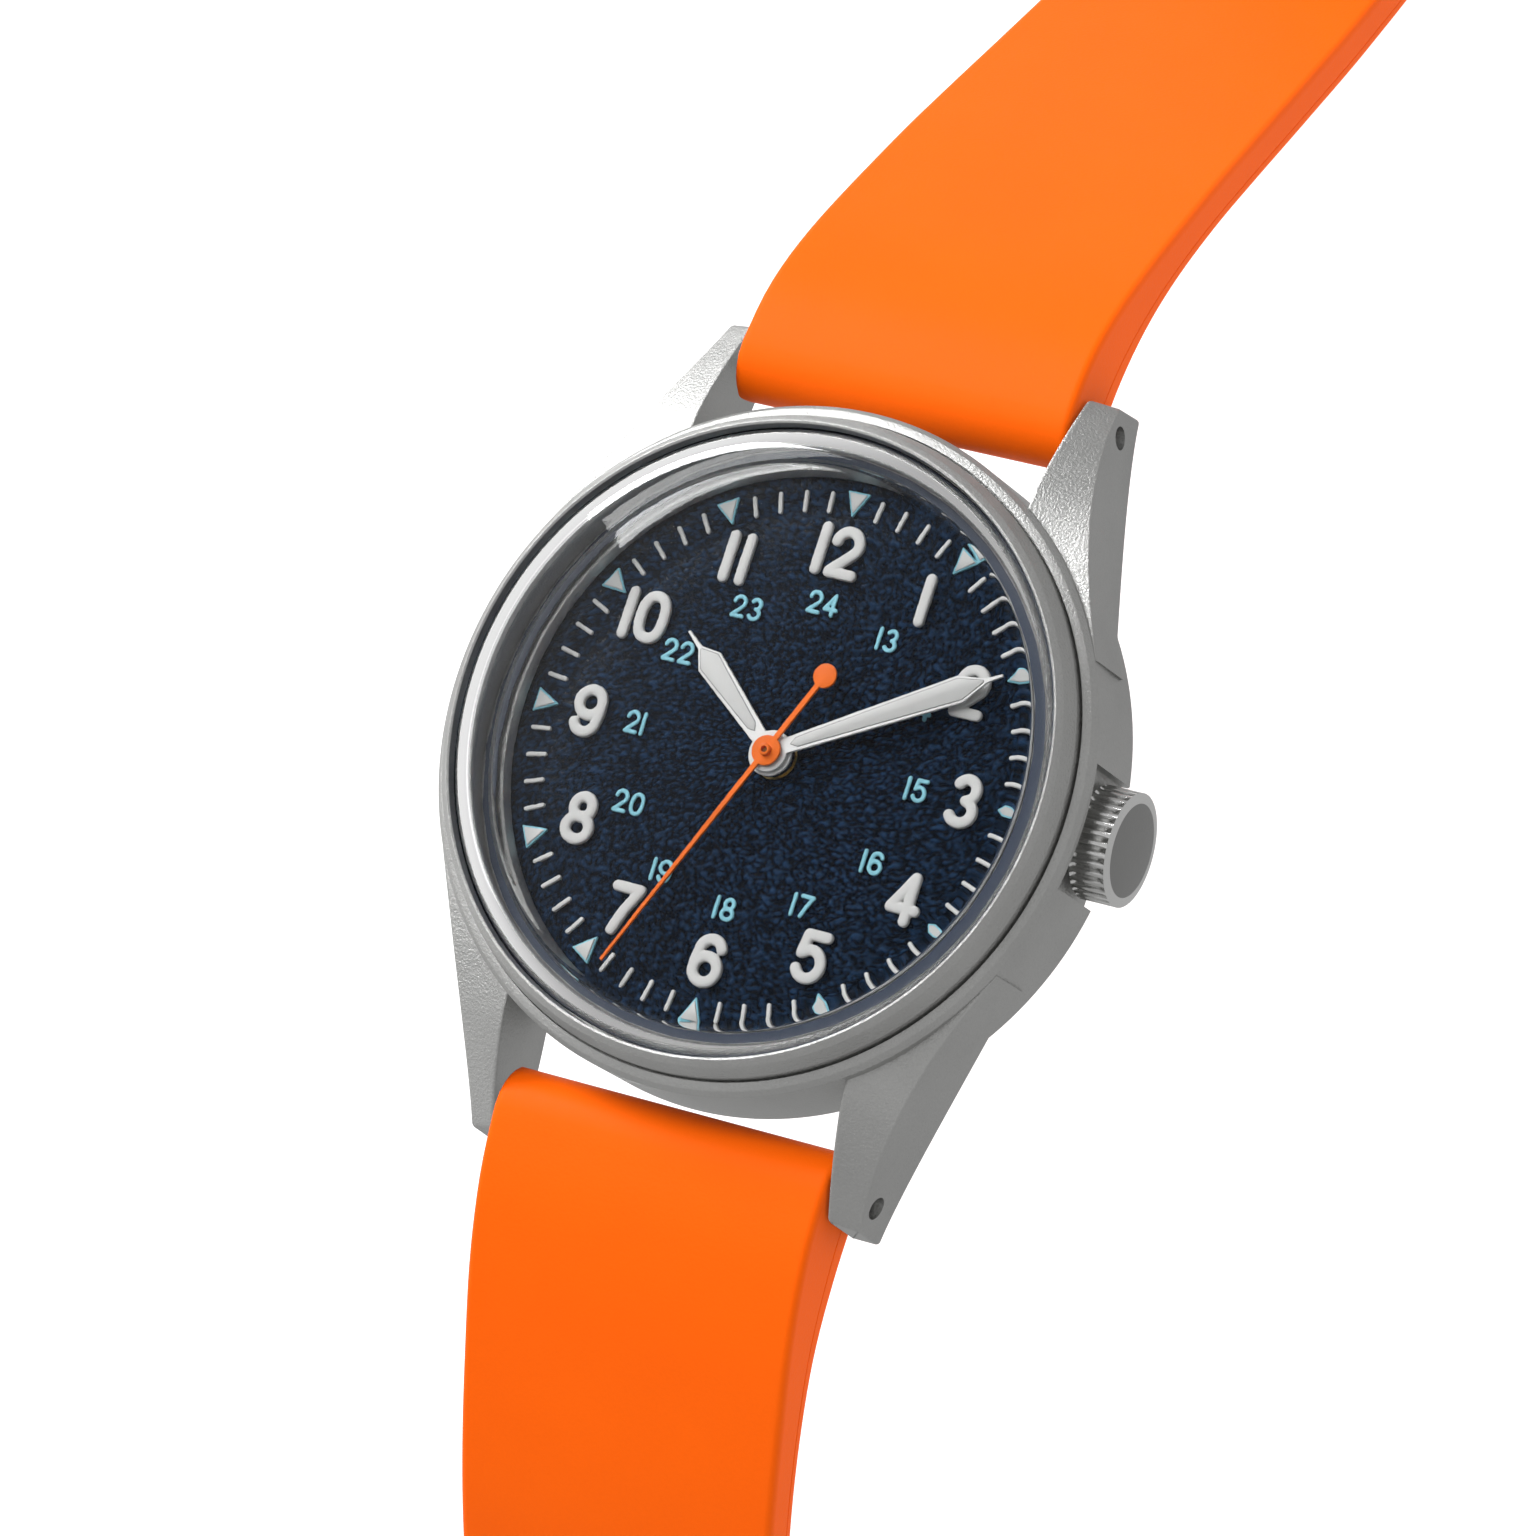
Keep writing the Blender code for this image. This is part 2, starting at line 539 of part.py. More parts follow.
def build_power():
    """Mainspring barrel, its winding wheels and the click."""
    drum = (
        (0.55 * MM, 3.3 * MM), (4.7 * MM, 3.3 * MM), (4.7 * MM, 2.8 * MM), (4.9 * MM, 2.8 * MM),
        (4.9 * MM, 3.45 * MM), (0.55 * MM, 3.45 * MM),
    )
    barrel = add_object("mainspring_barrel", turned(drum, 24, BARREL_XY), BRASS)
    rim = toothed(24, 5.2 * MM, 5.0 * MM, 3.25 * MM, 3.42 * MM, BARREL_XY)
    join(barrel, rim)
    cut(barrel, pin(0.55 * MM, 3.0 * MM, 4.0 * MM, 24, BARREL_XY))
    add_object("barrel_cover", tube(0.6 * MM, 4.85 * MM, 2.62 * MM, 2.72 * MM, 24, BARREL_XY), BRASS)
    coil = spiral(1.1 * MM, 4.5 * MM, 4.0, 0.15 * MM, 2.8 * MM, 3.2 * MM, BARREL_XY)
    add_object("mainspring", coil, POLISHED)
    add_object("barrel_arbor", pin(0.45 * MM, 1.45 * MM, 3.85 * MM, SMALL, BARREL_XY), NICKEL)
    level = WINDING_WHEEL_Z
    high = level + 0.2 * MM
    ratchet = add_object("ratchet_wheel", toothed(28, 3.1 * MM, 2.85 * MM, level, high, BARREL_XY), NICKEL)
    cut(ratchet, pin(0.52 * MM, MM, 3.0 * MM, TINY, BARREL_XY))
    disc = toothed(20, 2.2 * MM, 1.95 * MM, level, high, CROWN_WHEEL_XY)
    crown_wheel = add_object("crown_wheel", disc, NICKEL)
    join(crown_wheel, pin(0.35 * MM, level + 0.1 * MM, 2.2 * MM, TINY, CROWN_WHEEL_XY))
    towards = Vector((BARREL_XY[0] - CLICK_XY[0], BARREL_XY[1] - CLICK_XY[1]))
    nose = Vector(CLICK_XY) + towards.normalized() * (towards.length - 3.7 * MM)
    click = add_object("click", bar(CLICK_XY, nose, 0.9 * MM, level, high), NICKEL)
    join(click, pin(0.3 * MM, level + 0.1 * MM, 2.2 * MM, TINY, CLICK_XY))


def build_train():
    """Wheels from the centre to the escape wheel, with the pallet fork and the balance."""
    centre = add_object("centre_wheel", toothed(24, 3.25 * MM, 3.05 * MM, 3.55 * MM, 3.7 * MM), BRASS)
    join(centre, pin(0.4 * MM, 3.1 * MM, 5.9 * MM, 12), toothed(8, 0.72 * MM, 0.58 * MM, 3.0 * MM, 3.45 * MM))
    cut(centre, pin(0.24 * MM, 2.0 * MM, 7.0 * MM, TINY))
    high = PLATE_BOTTOM_Z - 0.1 * MM
    top = SECONDS_HAND_Z + HAND_THICKNESS + 0.02 * MM
    train_wheel("third_wheel", THIRD_XY, 24, 3.2 * MM, 2.65 * MM, PINION_R, 3.5 * MM, 3.75 * MM, high, BRASS)
    train_wheel("fourth_wheel", CENTRE_XY, 24, 3.6 * MM, 2.4 * MM, PINION_R, 2.62 * MM, 2.9 * MM, top, BRASS)
    escape_pinion_r = 0.45 * MM
    train_wheel("escape_wheel", ESCAPE_XY, 15, 2.2 * MM, 3.0 * MM, escape_pinion_r, 2.4 * MM, 2.6 * MM,
                high, NICKEL)

    fork_z = 3.0 * MM
    fork_top = fork_z + 0.15 * MM
    to_balance = Vector(BALANCE_XY) - Vector(PALLET_XY)
    fork_end = Vector(PALLET_XY) + to_balance.normalized() * (to_balance.length - 0.95 * MM)
    fork = add_object("pallet_fork", bar(PALLET_XY, fork_end, 0.35 * MM, fork_z, fork_top), POLISHED)
    arms = [pin(0.12 * MM, 2.4 * MM, high, 8, PALLET_XY)]
    for swing in (-26.0, 26.0):
        away = (Vector(PALLET_XY) - Vector(ESCAPE_XY)).normalized() * 2.65 * MM
        away.rotate(Matrix.Rotation(math.radians(swing), 2))
        arms.append(bar(PALLET_XY, Vector(ESCAPE_XY) + away, 0.35 * MM, fork_z, fork_top))
    join(fork, *arms)

    rim = tube(3.7 * MM, 4.1 * MM, 3.35 * MM, 3.7 * MM, 28, BALANCE_XY)
    balance = add_object("balance_wheel", rim, BRASS)
    spoke = box((BALANCE_XY[0] - 3.9 * MM, BALANCE_XY[1] - 0.25 * MM, 3.42 * MM),
                (BALANCE_XY[0] + 3.9 * MM, BALANCE_XY[1] + 0.25 * MM, 3.62 * MM))
    staff = (
        (0.0, 2.4 * MM), (0.12 * MM, 2.4 * MM), (0.12 * MM, 3.0 * MM), (0.5 * MM, 3.0 * MM),
        (0.5 * MM, 3.15 * MM), (0.12 * MM, 3.15 * MM), (0.12 * MM, high), (0.0, high),
    )
    join(balance, spoke, turned(staff, TINY, BALANCE_XY))
    coil = spiral(0.55 * MM, 2.05 * MM, 3.5, 0.08 * MM, 2.62 * MM, 2.74 * MM, BALANCE_XY)
    add_object("hairspring", coil, POLISHED)


def build_dial_side():
    """Motion work under the dial, and the levers that set the hands."""
    cannon = add_object("cannon_pinion", pin(0.64 * MM, 5.1 * MM, 7.32 * MM, SMALL), NICKEL)
    join(cannon, toothed(12, 0.95 * MM, 0.78 * MM, 5.05 * MM, 5.3 * MM))
    cut(cannon, pin(0.46 * MM, 4.0 * MM, 8.0 * MM, SMALL))
    hour = add_object("hour_wheel", pin(0.9 * MM, 5.5 * MM, 7.02 * MM, SMALL), BRASS)
    join(hour, toothed(24, 2.4 * MM, 2.22 * MM, 5.45 * MM, 5.6 * MM))
    cut(hour, pin(0.7 * MM, 4.0 * MM, 8.0 * MM, SMALL))
    disc = toothed(22, 2.2 * MM, 2.02 * MM, 5.05 * MM, 5.2 * MM, MINUTE_WHEEL_XY)
    minute = add_object("minute_wheel", disc, BRASS)
    join(minute, toothed(7, 0.68 * MM, 0.52 * MM, 5.15 * MM, 5.6 * MM, MINUTE_WHEEL_XY))
    cut(minute, pin(0.3 * MM, 4.0 * MM, 7.0 * MM, 12, MINUTE_WHEEL_XY))
    levers = (
        ("setting_lever", SETTING_LEVER_XY, (9.2 * MM, -0.4 * MM), 5.0 * MM),
        ("yoke", YOKE_XY, (9.5 * MM, -0.6 * MM), 5.3 * MM),
    )
    for name, pivot, end, level in levers:
        lever = add_object(name, bar(pivot, end, 0.9 * MM, level, level + 0.2 * MM), POLISHED)
        cut(lever, pin(0.3 * MM, 4.0 * MM, 7.0 * MM, 12, pivot))


# ---------------------------------------------------------------- strap and buckle

def smooth_route(points, steps):
    """Even curve through the route's points: a list of (y, z) in metres."""
    ends = [tuple(2 * a - b for a, b in zip(points[0], points[1])), *points]
    ends.append(tuple(2 * a - b for a, b in zip(points[-1], points[-2])))
    route = []
    for i in range(1, len(ends) - 2):
        before, start, end, after = (Vector(p) for p in ends[i - 1:i + 3])
        for step in range(steps):
            t = step / steps
            linear = (end - before) * t
            square = (2 * before - 5 * start + 4 * end - after) * t ** 2
            cube = (3 * start - before - 3 * end + after) * t ** 3
            route.append(0.5 * (2 * start + linear + square + cube) * MM)
    route.append(Vector(points[-1]) * MM)
    return route


def place_on(route, distance):
    """Point and unit tangent at a distance along the route, straight on beyond either end."""
    if distance < 0.0:
        tangent = (route[1] - route[0]).normalized()
        return route[0] + tangent * distance, tangent
    walked = 0.0
    for first, second in zip(route, route[1:]):
        length = (second - first).length
        tangent = (second - first).normalized()
        if walked + length >= distance:
            return first + tangent * (distance - walked), tangent
        walked += length
    return route[-1] + tangent * (distance - walked), tangent


def route_length(route):
    return sum((b - a).length for a, b in zip(route, route[1:]))


def half_width_at(distance):
    share = min(1.0, max(0.0, distance / TAPER_LENGTH))
    return STRAP_HALF_WIDTH + (STRAP_END_HALF_WIDTH - STRAP_HALF_WIDTH) * share


def half_thickness_at(distance):
    """Thick round the spring bar, then falling smoothly to the strap's own thickness."""
    swell = STRAP_NOSE_R - STRAP_HALF_THICKNESS
    return STRAP_HALF_THICKNESS + swell * math.exp(-((distance / (8.5 * MM)) ** 2))


def strap_stations(route, end_nose_r):
    """(distance, half width, half thickness) from the round lug end to the far end."""
    length = route_length(route)
    stations = []
    for angle in (12.0, 35.0, 62.0):
        turn = math.radians(angle)
        stations.append((-STRAP_NOSE_R * math.cos(turn), STRAP_HALF_WIDTH, STRAP_NOSE_R * math.sin(turn)))
    count = round(length / (4.0 * MM))
    tip_length = 9.0 * MM
    for step in range(count + 1):
        distance = length * step / count
        width = half_width_at(distance)
        thickness = half_thickness_at(distance)
        if end_nose_r:
            near = min(1.0, max(0.0, (distance - length + 5.0 * MM) / (5.0 * MM)))
            thickness += (end_nose_r - thickness) * near ** 2
        else:
            over = max(0.0, distance - (length - tip_length)) / tip_length
            width *= math.sqrt(max(0.12, 1.0 - 0.97 * over ** 2))
        stations.append((distance, width, thickness))
    if end_nose_r:
        for angle in (62.0, 35.0, 12.0):
            turn = math.radians(angle)
            reach = length + end_nose_r * math.cos(turn)
            stations.append((reach, STRAP_END_HALF_WIDTH, end_nose_r * math.sin(turn)))
    return stations


def strap_body(route, end_nose_r):
    bm = bmesh.new()
    rings = []
    for distance, width, thickness in strap_stations(route, end_nose_r):
        centre, tangent = place_on(route, distance)
        normal = Vector((-tangent.y, tangent.x))
        if normal.y < 0.0:
            normal = -normal
        soft = 0.35 * thickness
        section = []
        for side, level in ((1, 1), (-1, 1), (-1, -1), (1, -1)):
            corners = [(side * width, level * (thickness - soft)), (side * (width - soft), level * thickness)]
            if side * level < 0:
                corners.reverse()
            section += corners
        ring = []
        for across, up in section:
            spot = centre + normal * up
            ring.append(bm.verts.new((across, spot.x, spot.y)))
        rings.append(ring)
    for first, second in zip(rings, rings[1:]):
        for i in range(8):
            j = (i + 1) % 8
            bm.faces.new((first[i], first[j], second[j], second[i]))
    bm.faces.new(rings[0])
    bm.faces.new(rings[-1])
    return bm


def build_straps():
    route_12 = smooth_route(STRAP_12_PATH, 6)
    strap = add_object("strap_12", strap_body(route_12, BUCKLE_NOSE_R), RUBBER)
    lug_bore = pin(STRAP_BORE_R, -12.0 * MM, 12.0 * MM, 14, (0.0, SPRING_BAR_Y), "X", SPRING_BAR_Z)
    buckle_bore = pin(0.85 * MM, -12.0 * MM, 12.0 * MM, 14, (0.0, BUCKLE_Y), "X", BUCKLE_Z)
    slot = box((-1.6 * MM, 83.6 * MM, -31.0 * MM), (1.6 * MM, 92.0 * MM, -26.0 * MM))
    cut(strap, lug_bore, buckle_bore, slot)

    route_6 = smooth_route(STRAP_6_PATH, 6)
    strap = add_object("strap_6", strap_body(route_6, 0.0), RUBBER)
    cut(strap, pin(STRAP_BORE_R, -12.0 * MM, 12.0 * MM, 14, (0.0, -SPRING_BAR_Y), "X", SPRING_BAR_Z))
    first_hole = 62.0 * MM
    hole_pitch = 6.5 * MM
    holes = bmesh.new()
    for step in range(8):
        centre, tangent = place_on(route_6, first_hole + hole_pitch * step)
        tilt = math.atan2(-tangent.y, -tangent.x)
        hole = pin(1.1 * MM, -3.0 * MM, 3.0 * MM, 12)
        bmesh.ops.rotate(hole, verts=hole.verts, matrix=Matrix.Rotation(tilt, 3, "X"))
        bmesh.ops.translate(hole, verts=hole.verts, vec=(0.0, centre.x, centre.y))
        mesh = bpy.data.meshes.new("strap hole")
        hole.to_mesh(mesh)
        hole.free()
        holes.from_mesh(mesh)
    cut(strap, holes)


def build_spring_bars():
    for hour, side_y in (("12", 1), ("6", -1)):
        place = (0.0, side_y * SPRING_BAR_Y)
        body = tube(0.5 * MM, SPRING_BAR_R, -9.2 * MM, 9.2 * MM, 14, place, "X", SPRING_BAR_Z)
        add_object(f"spring_bar_{hour}", body, POLISHED)
        for side, side_x in (("right", 1), ("left", -1)):
            ends = sorted((side_x * 7.6 * MM, side_x * 11.6 * MM))
            tip = pin(0.4 * MM, ends[0], ends[1], 12, place, "X", SPRING_BAR_Z)
            add_object(f"spring_bar_{hour}_tip_{side}", tip, POLISHED)


def keeper(name, start_y, half_width):
    """A loop that goes round the strap and leaves room for the second strap over it."""
    wall = 1.0 * MM
    length = 4.0 * MM
    low = BUCKLE_Z - 0.2 * MM - STRAP_HALF_THICKNESS - 0.25 * MM
    high = low + 5.4 * MM
    outer = box((-half_width - wall, start_y, low - wall), (half_width + wall, start_y + length, high + wall))
    edges = [edge for edge in outer.edges if abs(edge.verts[0].co.y - edge.verts[1].co.y) > length / 2.0]
    bmesh.ops.bevel(outer, geom=edges, offset=0.8 * MM, segments=2, profile=0.5, affect="EDGES")
    piece = add_object(name, outer, RUBBER)
    cut(piece, box((-half_width, start_y - MM, low), (half_width, start_y + length + MM, high)))


def build_buckle():
    keeper("fixed_keeper", 79.0 * MM, 8.6 * MM)
    keeper("loose_keeper", 73.2 * MM, 8.75 * MM)
    low = BUCKLE_Z - 0.9 * MM
    high = BUCKLE_Z + 0.9 * MM
    outer_x = 10.3 * MM
    inner_x = 8.5 * MM
    back_y = 86.9 * MM
    front_y = 99.6 * MM
    corner = 2.2 * MM
    outline = [(inner_x, back_y), (outer_x, back_y)]
    outline += arc((outer_x - corner, front_y - corner), corner, 0.0, 90.0, 5)
    outline += arc((corner - outer_x, front_y - corner), corner, 90.0, 180.0, 5)
    outline += [(-outer_x, back_y), (-inner_x, back_y), (-inner_x, 96.6 * MM), (inner_x, 96.6 * MM)]
    frame = add_object("buckle_frame", prism(outline, low, high), STEEL)
    hole = pin(0.72 * MM, -12.0 * MM, 12.0 * MM, 14, (0.0, BUCKLE_Y), "X", BUCKLE_Z)
    cut(frame, hole)
    bar_body = pin(0.55 * MM, -10.0 * MM, 10.0 * MM, TINY, (0.0, BUCKLE_Y), "X", BUCKLE_Z)
    add_object("buckle_bar", bar_body, POLISHED)
    collar = pin(1.25 * MM, -1.3 * MM, 1.3 * MM, 16, (0.0, BUCKLE_Y), "X", BUCKLE_Z)
    tongue = add_object("buckle_tongue", collar, POLISHED)
    blade_half = 0.95 * MM
    root_y = BUCKLE_Y - 0.3 * MM
    blade = box((-blade_half, root_y, BUCKLE_Z + 1.2 * MM), (blade_half, 99.4 * MM, BUCKLE_Z + 2.1 * MM))
    neck = box((-blade_half, root_y, BUCKLE_Z + 0.9 * MM), (blade_half, 89.0 * MM, BUCKLE_Z + 1.3 * MM))
    join(tongue, blade, neck)
    cut(tongue, pin(0.72 * MM, -2.0 * MM, 2.0 * MM, 16, (0.0, BUCKLE_Y), "X", BUCKLE_Z))


def place_origins():
    """Each moving piece turns about, or slides along, an axis through its origin."""
    hang_on((0.0, 0.0, STEM_Z), "crown", "crown_gasket", "winding_stem", "winding_pinion", "sliding_clutch")
    barrel_pieces = ("mainspring_barrel", "barrel_cover", "mainspring", "barrel_arbor", "ratchet_wheel")
    hang_on((*BARREL_XY, 0.0), *barrel_pieces)
    hang_on((*CROWN_WHEEL_XY, 0.0), "crown_wheel")
    hang_on((*CLICK_XY, 0.0), "click")
    hang_on((*THIRD_XY, 0.0), "third_wheel")
    hang_on((*ESCAPE_XY, 0.0), "escape_wheel")
    hang_on((*PALLET_XY, 0.0), "pallet_fork")
    hang_on((*BALANCE_XY, 0.0), "balance_wheel")
    hang_on((*MINUTE_WHEEL_XY, 0.0), "minute_wheel")
    hang_on((*SETTING_LEVER_XY, 0.0), "setting_lever")
    hang_on((*YOKE_XY, 0.0), "yoke")
    for hour, side_y in (("12", 1), ("6", -1)):
        tips = [f"spring_bar_{hour}_tip_{side}" for side in ("left", "right")]
        hang_on((0.0, side_y * SPRING_BAR_Y, SPRING_BAR_Z), f"strap_{hour}", *tips)
    hang_on((0.0, BUCKLE_Y, BUCKLE_Z), "buckle_frame", "buckle_tongue")


def main():
    clear_scene()
    build_case()
    build_case_fittings()
    build_crystal()
    build_case_back()
    build_dial_and_hands()
    build_crown()
    build_plates()
    build_bridges()
    build_power()
    build_train()
    build_dial_side()
    build_straps()
    build_spring_bars()
    build_buckle()
    place_origins()


main()
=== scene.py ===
import json
import math

import bmesh
import bpy
from mathutils import Matrix, Vector, noise


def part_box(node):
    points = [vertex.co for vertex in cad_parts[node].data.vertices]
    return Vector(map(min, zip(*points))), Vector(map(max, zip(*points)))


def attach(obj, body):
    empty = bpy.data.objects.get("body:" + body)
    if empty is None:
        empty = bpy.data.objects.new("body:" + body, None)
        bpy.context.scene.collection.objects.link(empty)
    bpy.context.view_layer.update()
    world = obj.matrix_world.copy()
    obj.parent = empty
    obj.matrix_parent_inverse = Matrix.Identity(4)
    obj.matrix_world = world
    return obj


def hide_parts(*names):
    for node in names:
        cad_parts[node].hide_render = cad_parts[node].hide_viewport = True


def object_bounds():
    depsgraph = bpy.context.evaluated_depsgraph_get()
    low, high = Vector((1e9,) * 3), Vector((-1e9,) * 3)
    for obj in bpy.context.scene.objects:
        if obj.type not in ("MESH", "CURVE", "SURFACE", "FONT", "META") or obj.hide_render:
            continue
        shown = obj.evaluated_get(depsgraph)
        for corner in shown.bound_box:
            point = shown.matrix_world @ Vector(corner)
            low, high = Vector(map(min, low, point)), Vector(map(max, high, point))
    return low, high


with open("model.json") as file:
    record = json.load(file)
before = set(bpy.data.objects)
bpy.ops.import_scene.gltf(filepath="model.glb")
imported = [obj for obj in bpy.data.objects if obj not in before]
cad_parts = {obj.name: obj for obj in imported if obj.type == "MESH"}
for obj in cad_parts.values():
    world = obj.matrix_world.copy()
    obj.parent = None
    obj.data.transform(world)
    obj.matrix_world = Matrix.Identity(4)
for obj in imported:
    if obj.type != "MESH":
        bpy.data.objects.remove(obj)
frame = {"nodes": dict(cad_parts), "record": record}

MM = 0.001
TAU = 2.0 * math.pi
ROUND = 192
SMALL_ROUND = 48
CAD_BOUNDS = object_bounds()

# Levels and radii that the frame gives
DIAL_TOP_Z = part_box("dial")[1].z
DIAL_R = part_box("dial")[1].x
BEZEL_LOW, BEZEL_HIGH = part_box("bezel")
BEZEL_R = BEZEL_HIGH.x
CRYSTAL_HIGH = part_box("crystal")[1]
CRYSTAL_R = CRYSTAL_HIGH.x
BACK_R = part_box("case_back")[1].x
CROWN_LOW, CROWN_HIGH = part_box("crown")
STEM_Z = (CROWN_LOW.z + CROWN_HIGH.z) / 2.0
SPRING_BAR_LOW, SPRING_BAR_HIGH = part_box("spring_bar_12")
SPRING_BAR_Y = (SPRING_BAR_LOW.y + SPRING_BAR_HIGH.y) / 2.0
SPRING_BAR_Z = (SPRING_BAR_LOW.z + SPRING_BAR_HIGH.z) / 2.0
BUCKLE_BAR_LOW, BUCKLE_BAR_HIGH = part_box("buckle_bar")
BUCKLE_Y = (BUCKLE_BAR_LOW.y + BUCKLE_BAR_HIGH.y) / 2.0
BUCKLE_Z = (BUCKLE_BAR_LOW.z + BUCKLE_BAR_HIGH.z) / 2.0

# Case sizes, as in the CAD
CASE_R = 18.75 * MM
LUG_HALF_OPENING = 10.13 * MM
LUG_HOLE_R = 0.62 * MM

# Hand angles at rest, in degrees clockwise from 12 o'clock
HOUR_HAND_ANGLE = 308.0
MINUTE_HAND_ANGLE = 59.7
SECONDS_HAND_ANGLE = 203.3

# Strap sizes and routes, as in the CAD
STRAP_HALF_WIDTH = 10.0 * MM
STRAP_END_HALF_WIDTH = 8.0 * MM
STRAP_HALF_THICKNESS = 1.25 * MM
STRAP_NOSE_R = 2.35 * MM
TAPER_LENGTH = 75.0 * MM
BUCKLE_NOSE_R = 1.55 * MM
STRAP_12_PATH = (
    (21.3, 2.45), (24.4, 1.9), (27.9, 0.4), (31.7, -2.0), (36.2, -5.5), (40.3, -9.1),
    (45.6, -13.9), (51.6, -19.2), (58.5, -24.6), (65.0, -27.7), (72.0, -28.7), (80.0, -28.7), (88.0, -28.5),
)
STRAP_6_PATH = (
    (-21.3, 2.45), (-25.0, 2.0), (-29.3, 0.8), (-33.8, -1.3), (-38.3, -3.9), (-42.7, -7.0),
    (-50.5, -13.2), (-58.5, -19.4), (-66.5, -24.8), (-75.5, -28.5), (-86.0, -29.85), (-98.0, -29.85),
    (-114.0, -29.85), (-130.0, -29.85),
)

# Dial layout
HOUR_RING_R = 11.45 * MM
DAY_RING_R = 8.55 * MM
MARK_OUTER_R = 14.85 * MM
MARK_INNER_R = 13.41 * MM
TICK_OUTER_R = 14.57 * MM
TICK_INNER_R = 13.57 * MM
TICK_HALF_WIDTH = 0.12 * MM
GRAIN_RELIEF = 0.18 * MM
GRAIN_SIZE = 0.22 * MM


# -------- mesh tools

def rounded(points, closed=True, steps=4):
    """Round the corners of an outline.  A point is (a, b), or (a, b, radius) at a rounded corner."""
    result = []
    count = len(points)
    for index, point in enumerate(points):
        here = Vector(point[:2])
        radius = point[2] if len(point) > 2 else 0.0
        at_end = index in (0, count - 1) and not closed
        if radius == 0.0 or at_end:
            result.append(here)
            continue
        to_last = Vector(points[index - 1][:2]) - here
        to_next = Vector(points[(index + 1) % count][:2]) - here
        half = to_last.angle(to_next) / 2.0
        reach = min(radius / math.tan(half), 0.48 * to_last.length, 0.48 * to_next.length)
        start = here + to_last.normalized() * reach
        end = here + to_next.normalized() * reach
        for step in range(steps + 1):
            t = step / steps
            result.append(start * (1.0 - t) ** 2 + here * 2.0 * t * (1.0 - t) + end * t ** 2)
    return result


def loft(rings, closed=False):
    """A skin through rings of points, capped at both ends unless the last ring joins the first."""
    bm = bmesh.new()
    rows = [[bm.verts.new(point) for point in ring] for ring in rings]
    pairs = list(zip(rows, rows[1:]))
    if closed:
        pairs.append((rows[-1], rows[0]))
    else:
        bm.faces.new(rows[0])
        bm.faces.new(rows[-1])
    for first, second in pairs:
        for i in range(len(first)):
            j = (i + 1) % len(first)
            bm.faces.new((first[i], first[j], second[j], second[i]))
    return bm


def turned(outline, segments=ROUND, axis="Z", centre=(0.0, 0.0, 0.0), flute=None):
    """Turn an outline of (radius, height) about Z or X.  flute(angle, radius, height) may change a radius."""
    bm = bmesh.new()
    rows = []
    for step in range(segments):
        angle = TAU * step / segments
        row = []
        for radius, height in outline:
            reach = flute(angle, radius, height) if flute else radius
            row.append(bm.verts.new((reach * math.cos(angle), reach * math.sin(angle), height)))
        rows.append(row)
    count = len(outline)
    for step in range(segments):
        first = rows[step]
        second = rows[(step + 1) % segments]
        for i in range(count):
            j = (i + 1) % count
            if outline[i][0] > 0.0 or outline[j][0] > 0.0:
                bm.faces.new((first[i], first[j], second[j], second[i]))
    bmesh.ops.remove_doubles(bm, verts=bm.verts, dist=1e-7)
    if axis == "X":
        bmesh.ops.rotate(bm, verts=bm.verts, matrix=Matrix.Rotation(math.radians(90.0), 3, "Y"))
    bmesh.ops.translate(bm, verts=bm.verts, vec=centre)
    return bm


def rod(radius, start, end, axis="Z", centre=(0.0, 0.0, 0.0), edge=0.0):
    """A round bar with rounded ends between two heights on its axis."""
    outline = rounded(((0.0, start), (radius, start, edge), (radius, end, edge), (0.0, end)))
    return turned(outline, SMALL_ROUND, axis, centre)


def cross_bar(radius, half, y, z, edge=0.0):
    """A round bar along X, centred on the watch's middle plane."""
    return rod(radius, -half, half, axis="X", centre=(0.0, y, z), edge=edge)


def block(low, high):
    bm = bmesh.new()
    bmesh.ops.create_cube(bm, size=1.0)
    bmesh.ops.scale(bm, verts=bm.verts, vec=Vector(high) - Vector(low))
    bmesh.ops.translate(bm, verts=bm.verts, vec=(Vector(high) + Vector(low)) / 2.0)
    return bm


def right_of(step):
    """Unit vector to the right of a step in a plane."""
    return Vector((step.y, -step.x)).normalized()


def squared(value, power):
    """A sine or cosine for a superellipse."""
    return math.copysign(abs(value) ** power, value)


def grown(outline, distance):
    """A closed outline moved outwards by a distance, or inwards if it is negative."""
    area = sum(a.x * b.y - b.x * a.y for a, b in zip(outline, outline[1:] + outline[:1]))
    side = 1.0 if area > 0.0 else -1.0
    result = []
    for index, here in enumerate(outline):
        last = here - outline[index - 1]
        following = outline[(index + 1) % len(outline)] - here
        first = right_of(last)
        normal = (first + right_of(following)).normalized()
        stretch = max(0.45, normal.dot(first))
        result.append(here + normal * (side * distance / stretch))
    return result


def plate(outline, low, high, edge):
    """A flat piece with a softened upper edge."""
    outline = [Vector(point) for point in outline]
    levels = ((0.0, low), (0.0, high - edge), (-0.3 * edge, high - 0.3 * edge), (-edge, high))
    rings = [[(p.x, p.y, z) for p in grown(outline, inset)] for inset, z in levels]
    return loft(rings)


def turn_plan(bm, clockwise):
    bmesh.ops.rotate(bm, verts=bm.verts, matrix=Matrix.Rotation(-math.radians(clockwise), 3, "Z"))
    return bm


def arc(centre, radius, start, end, steps):
    points = []
    for step in range(steps + 1):
        angle = math.radians(start + (end - start) * step / steps)
        points.append(Vector((centre[0] + radius * math.cos(angle), centre[1] + radius * math.sin(angle))))
    return points


